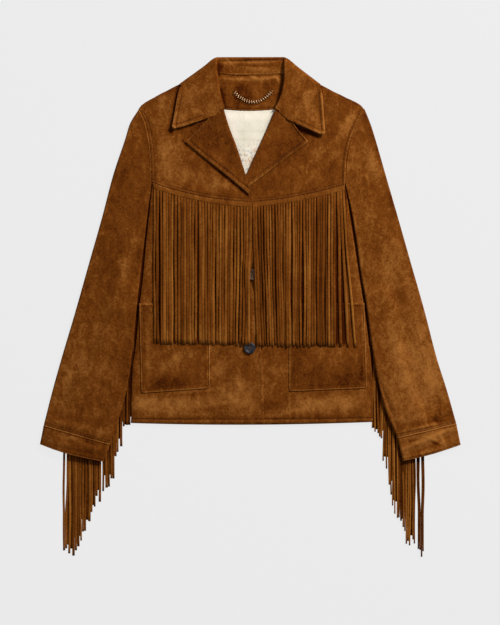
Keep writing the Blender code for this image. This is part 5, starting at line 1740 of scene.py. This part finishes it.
def chain_tree():
    """Chain: oval links on edge along a path, with small flat links between them."""
    tree, given, out = new_tree(
        "hanger_links", 'GeometryNodeTree',
        {"Paths": 'NodeSocketGeometry', "Pitch": 0.0042, "Lean": 1.5, "Twist": 0.15, "Radius": 0.0031,
         "Wire": 0.00044, "Metal": 'NodeSocketMaterial'}, {"Mesh": 'NodeSocketGeometry'})
    steps, turn = even_steps(tree, given)
    loop = add_node(tree, 'GeometryNodeCurvePrimitiveCircle', {"Resolution": 12, "Radius": given["Radius"]})
    wire = add_node(tree, 'GeometryNodeCurvePrimitiveCircle', {"Resolution": 5, "Radius": given["Wire"]})
    link = add_node(tree, 'GeometryNodeCurveToMesh',
                    {"Curve": loop.outputs[0], "Profile Curve": wire.outputs[0]})
    leaning = repeated(tree, steps, link, spun(tree, turn, Y=given["Lean"], Z=given["Twist"]),
                       Scale=(0.6, 1.0, 1.0))
    half_way = add_node(tree, 'ShaderNodeCombineXYZ', {"X": maths(tree, 'MULTIPLY', given["Pitch"], 0.5),
                                                       "Z": -0.0011})
    flat = repeated(tree, steps, link, turn, Scale=(0.95, 0.26, 0.5), Translation=half_way.outputs[0])
    both = add_node(tree, 'GeometryNodeJoinGeometry')
    for placed in (flat, leaning):
        tree.links.new(placed, both.inputs[0])
    return finish_tree(tree, both.outputs[0], given["Metal"], out)


def along_paths(name, paths, tree, **values):
    """Mesh made by a geometry tree on lines of points in millimetres."""
    points, edges = [], []
    for path in paths:
        start = sum(len(p) for p in points)
        points.append(path)
        edges += [(start + i, start + i + 1) for i in range(len(path) - 1)]
    lines = bpy.data.meshes.new(name + "_paths")
    lines.from_pydata((np.concatenate(points) * MM).tolist(), edges, [])
    source = bpy.data.objects.new(name + "_paths", lines)
    bpy.context.scene.collection.objects.link(source)
    modifier = source.modifiers.new(name, 'NODES')
    modifier.node_group = tree
    for item in tree.interface.items_tree:
        if item.item_type == 'SOCKET' and item.in_out == 'INPUT' and item.name in values:
            modifier[item.identifier] = values[item.name]
    evaluated = source.evaluated_get(bpy.context.evaluated_depsgraph_get())
    mesh = bpy.data.meshes.new_from_object(evaluated)
    mesh.name = name
    obj = bpy.data.objects.new(name, mesh)
    bpy.context.scene.collection.objects.link(obj)
    bpy.data.objects.remove(source)
    bpy.data.meshes.remove(lines)
    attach(obj, "root")
    return obj


def make_chain():
    """Hanger chain on the back facing, with its two sewn ends."""
    x, y = np.array(chain_line()).T
    z = over_back(x, y) + FACING_WALL + GAP + 2.2
    path = points_of(x, y, z)
    chain = along_paths("hanger_chain_links", [path], chain_tree(), Metal=METAL)
    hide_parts("hanger_chain")
    for x0, y0 in (CHAIN["left"], CHAIN["right"]):
        level = float(over_back(x0, y0)) + FACING_WALL + 1.1
        for step in (-2.4, 0.0, 2.4):
            thread_paths.append(np.array([[x0 + step, y0 - 3.0, level], [x0 + step, y0 + 4.0, level]]))


def make_buttonhole():
    """Row of close stitches round the slit beside the lower button."""
    x0, y0 = BUTTONS["button_lower"]
    t = np.linspace(0.0, 2.0 * math.pi, 48)
    x = x0 - 9.5 + 11.0 * np.cos(t)
    y = y0 + 3.4 + 1.0 * np.sin(t) - 0.12 * (x - x0)
    z = draped(-1, x, y) + 0.15
    return points_of(x, y, z)


make_back()
for each_side in (-1, 1):
    make_yoke(each_side)
    make_front(each_side)
    make_pocket(each_side)
    make_sleeve(each_side)
    make_cuff(each_side)
    make_chest_fringe(each_side)
    make_sleeve_fringe(each_side)
    make_lapel(each_side)
make_inside()
make_collar()
for each_button in BUTTONS:
    make_button(each_button)
make_chain()
STITCHES = stitch_tree()
rows_of_thread = along_paths("topstitching", stitch_paths, STITCHES, Thread=THREAD)
ties = along_paths("button_and_chain_thread", thread_paths, STITCHES, Thread=THREAD, Pitch=0.0009,
                   Length=0.0014, Thickness=0.0007)
hole = along_paths("buttonhole_thread", [make_buttonhole()], STITCHES, Thread=THREAD, Pitch=0.00085,
                   Length=0.0021, Thickness=0.0008, Turn=math.pi / 2.0)


# ---------------------------------------------------------------- floor, light and camera

# Camera: lens and sensor in millimetres, then the place and height of the view at its level, in metres.
LENS, SENSOR = 85.0, 36.0
VIEW_CENTRE = (-0.0005, -0.0099)
VIEW_HEIGHT = 1.125
VIEW_LEVEL = 0.006
FLOOR_SIZE = 12.0
FLOOR_LEVEL = -0.0008
FLOOR_GLOW = (0.645, 0.15)
SKY = 0.18


def make_stage():
    """Pale floor, soft light from above and the right, and the camera looking straight down."""
    scene = bpy.context.scene
    bpy.ops.mesh.primitive_plane_add(size=FLOOR_SIZE, location=(0.0, 0.0, FLOOR_LEVEL))
    floor = bpy.context.object
    floor.name = "floor"
    paper, tree, shader = new_material("pale_floor", 0.9, Specular_IOR_Level=0.0,
                                       Emission_Color=(1.0, 1.0, 1.0, 1.0))
    shader.inputs["Base Color"].default_value = (0.04, 0.04, 0.04, 1.0)
    seen = add_node(tree, 'ShaderNodeLightPath').outputs["Is Camera Ray"]
    glow = maths(tree, 'MULTIPLY_ADD', seen, *FLOOR_GLOW)
    tree.links.new(glow, shader.inputs["Emission Strength"])
    floor.data.materials.append(paper)
    world = bpy.data.worlds.new("studio")
    world.use_nodes = True
    sky = world.node_tree.nodes["Background"].inputs
    sky["Color"].default_value = (1.0, 1.0, 1.0, 1.0)
    sky["Strength"].default_value = SKY
    scene.world = world
    for name, place, size, power in (("key", (1.9, 2.1, 1.7), 0.5, 146.0),
                                     ("fill", (-1.9, -0.6, 2.4), 2.4, 9.0)):
        light = bpy.data.lights.new(name, 'AREA')
        light.shape = 'DISK'
        light.size = size
        light.energy = power
        lamp = bpy.data.objects.new(name, light)
        lamp.location = place
        lamp.rotation_euler = (-Vector(place)).to_track_quat('-Z', 'Y').to_euler()
        scene.collection.objects.link(lamp)
    camera = bpy.data.cameras.new("camera")
    camera.lens, camera.sensor_width = LENS, SENSOR
    view = bpy.data.objects.new("camera", camera)
    view.location = (*VIEW_CENTRE, VIEW_LEVEL + VIEW_HEIGHT * LENS / SENSOR)
    scene.collection.objects.link(view)
    scene.camera = view
    scene.view_settings.view_transform = 'Standard'


make_stage()
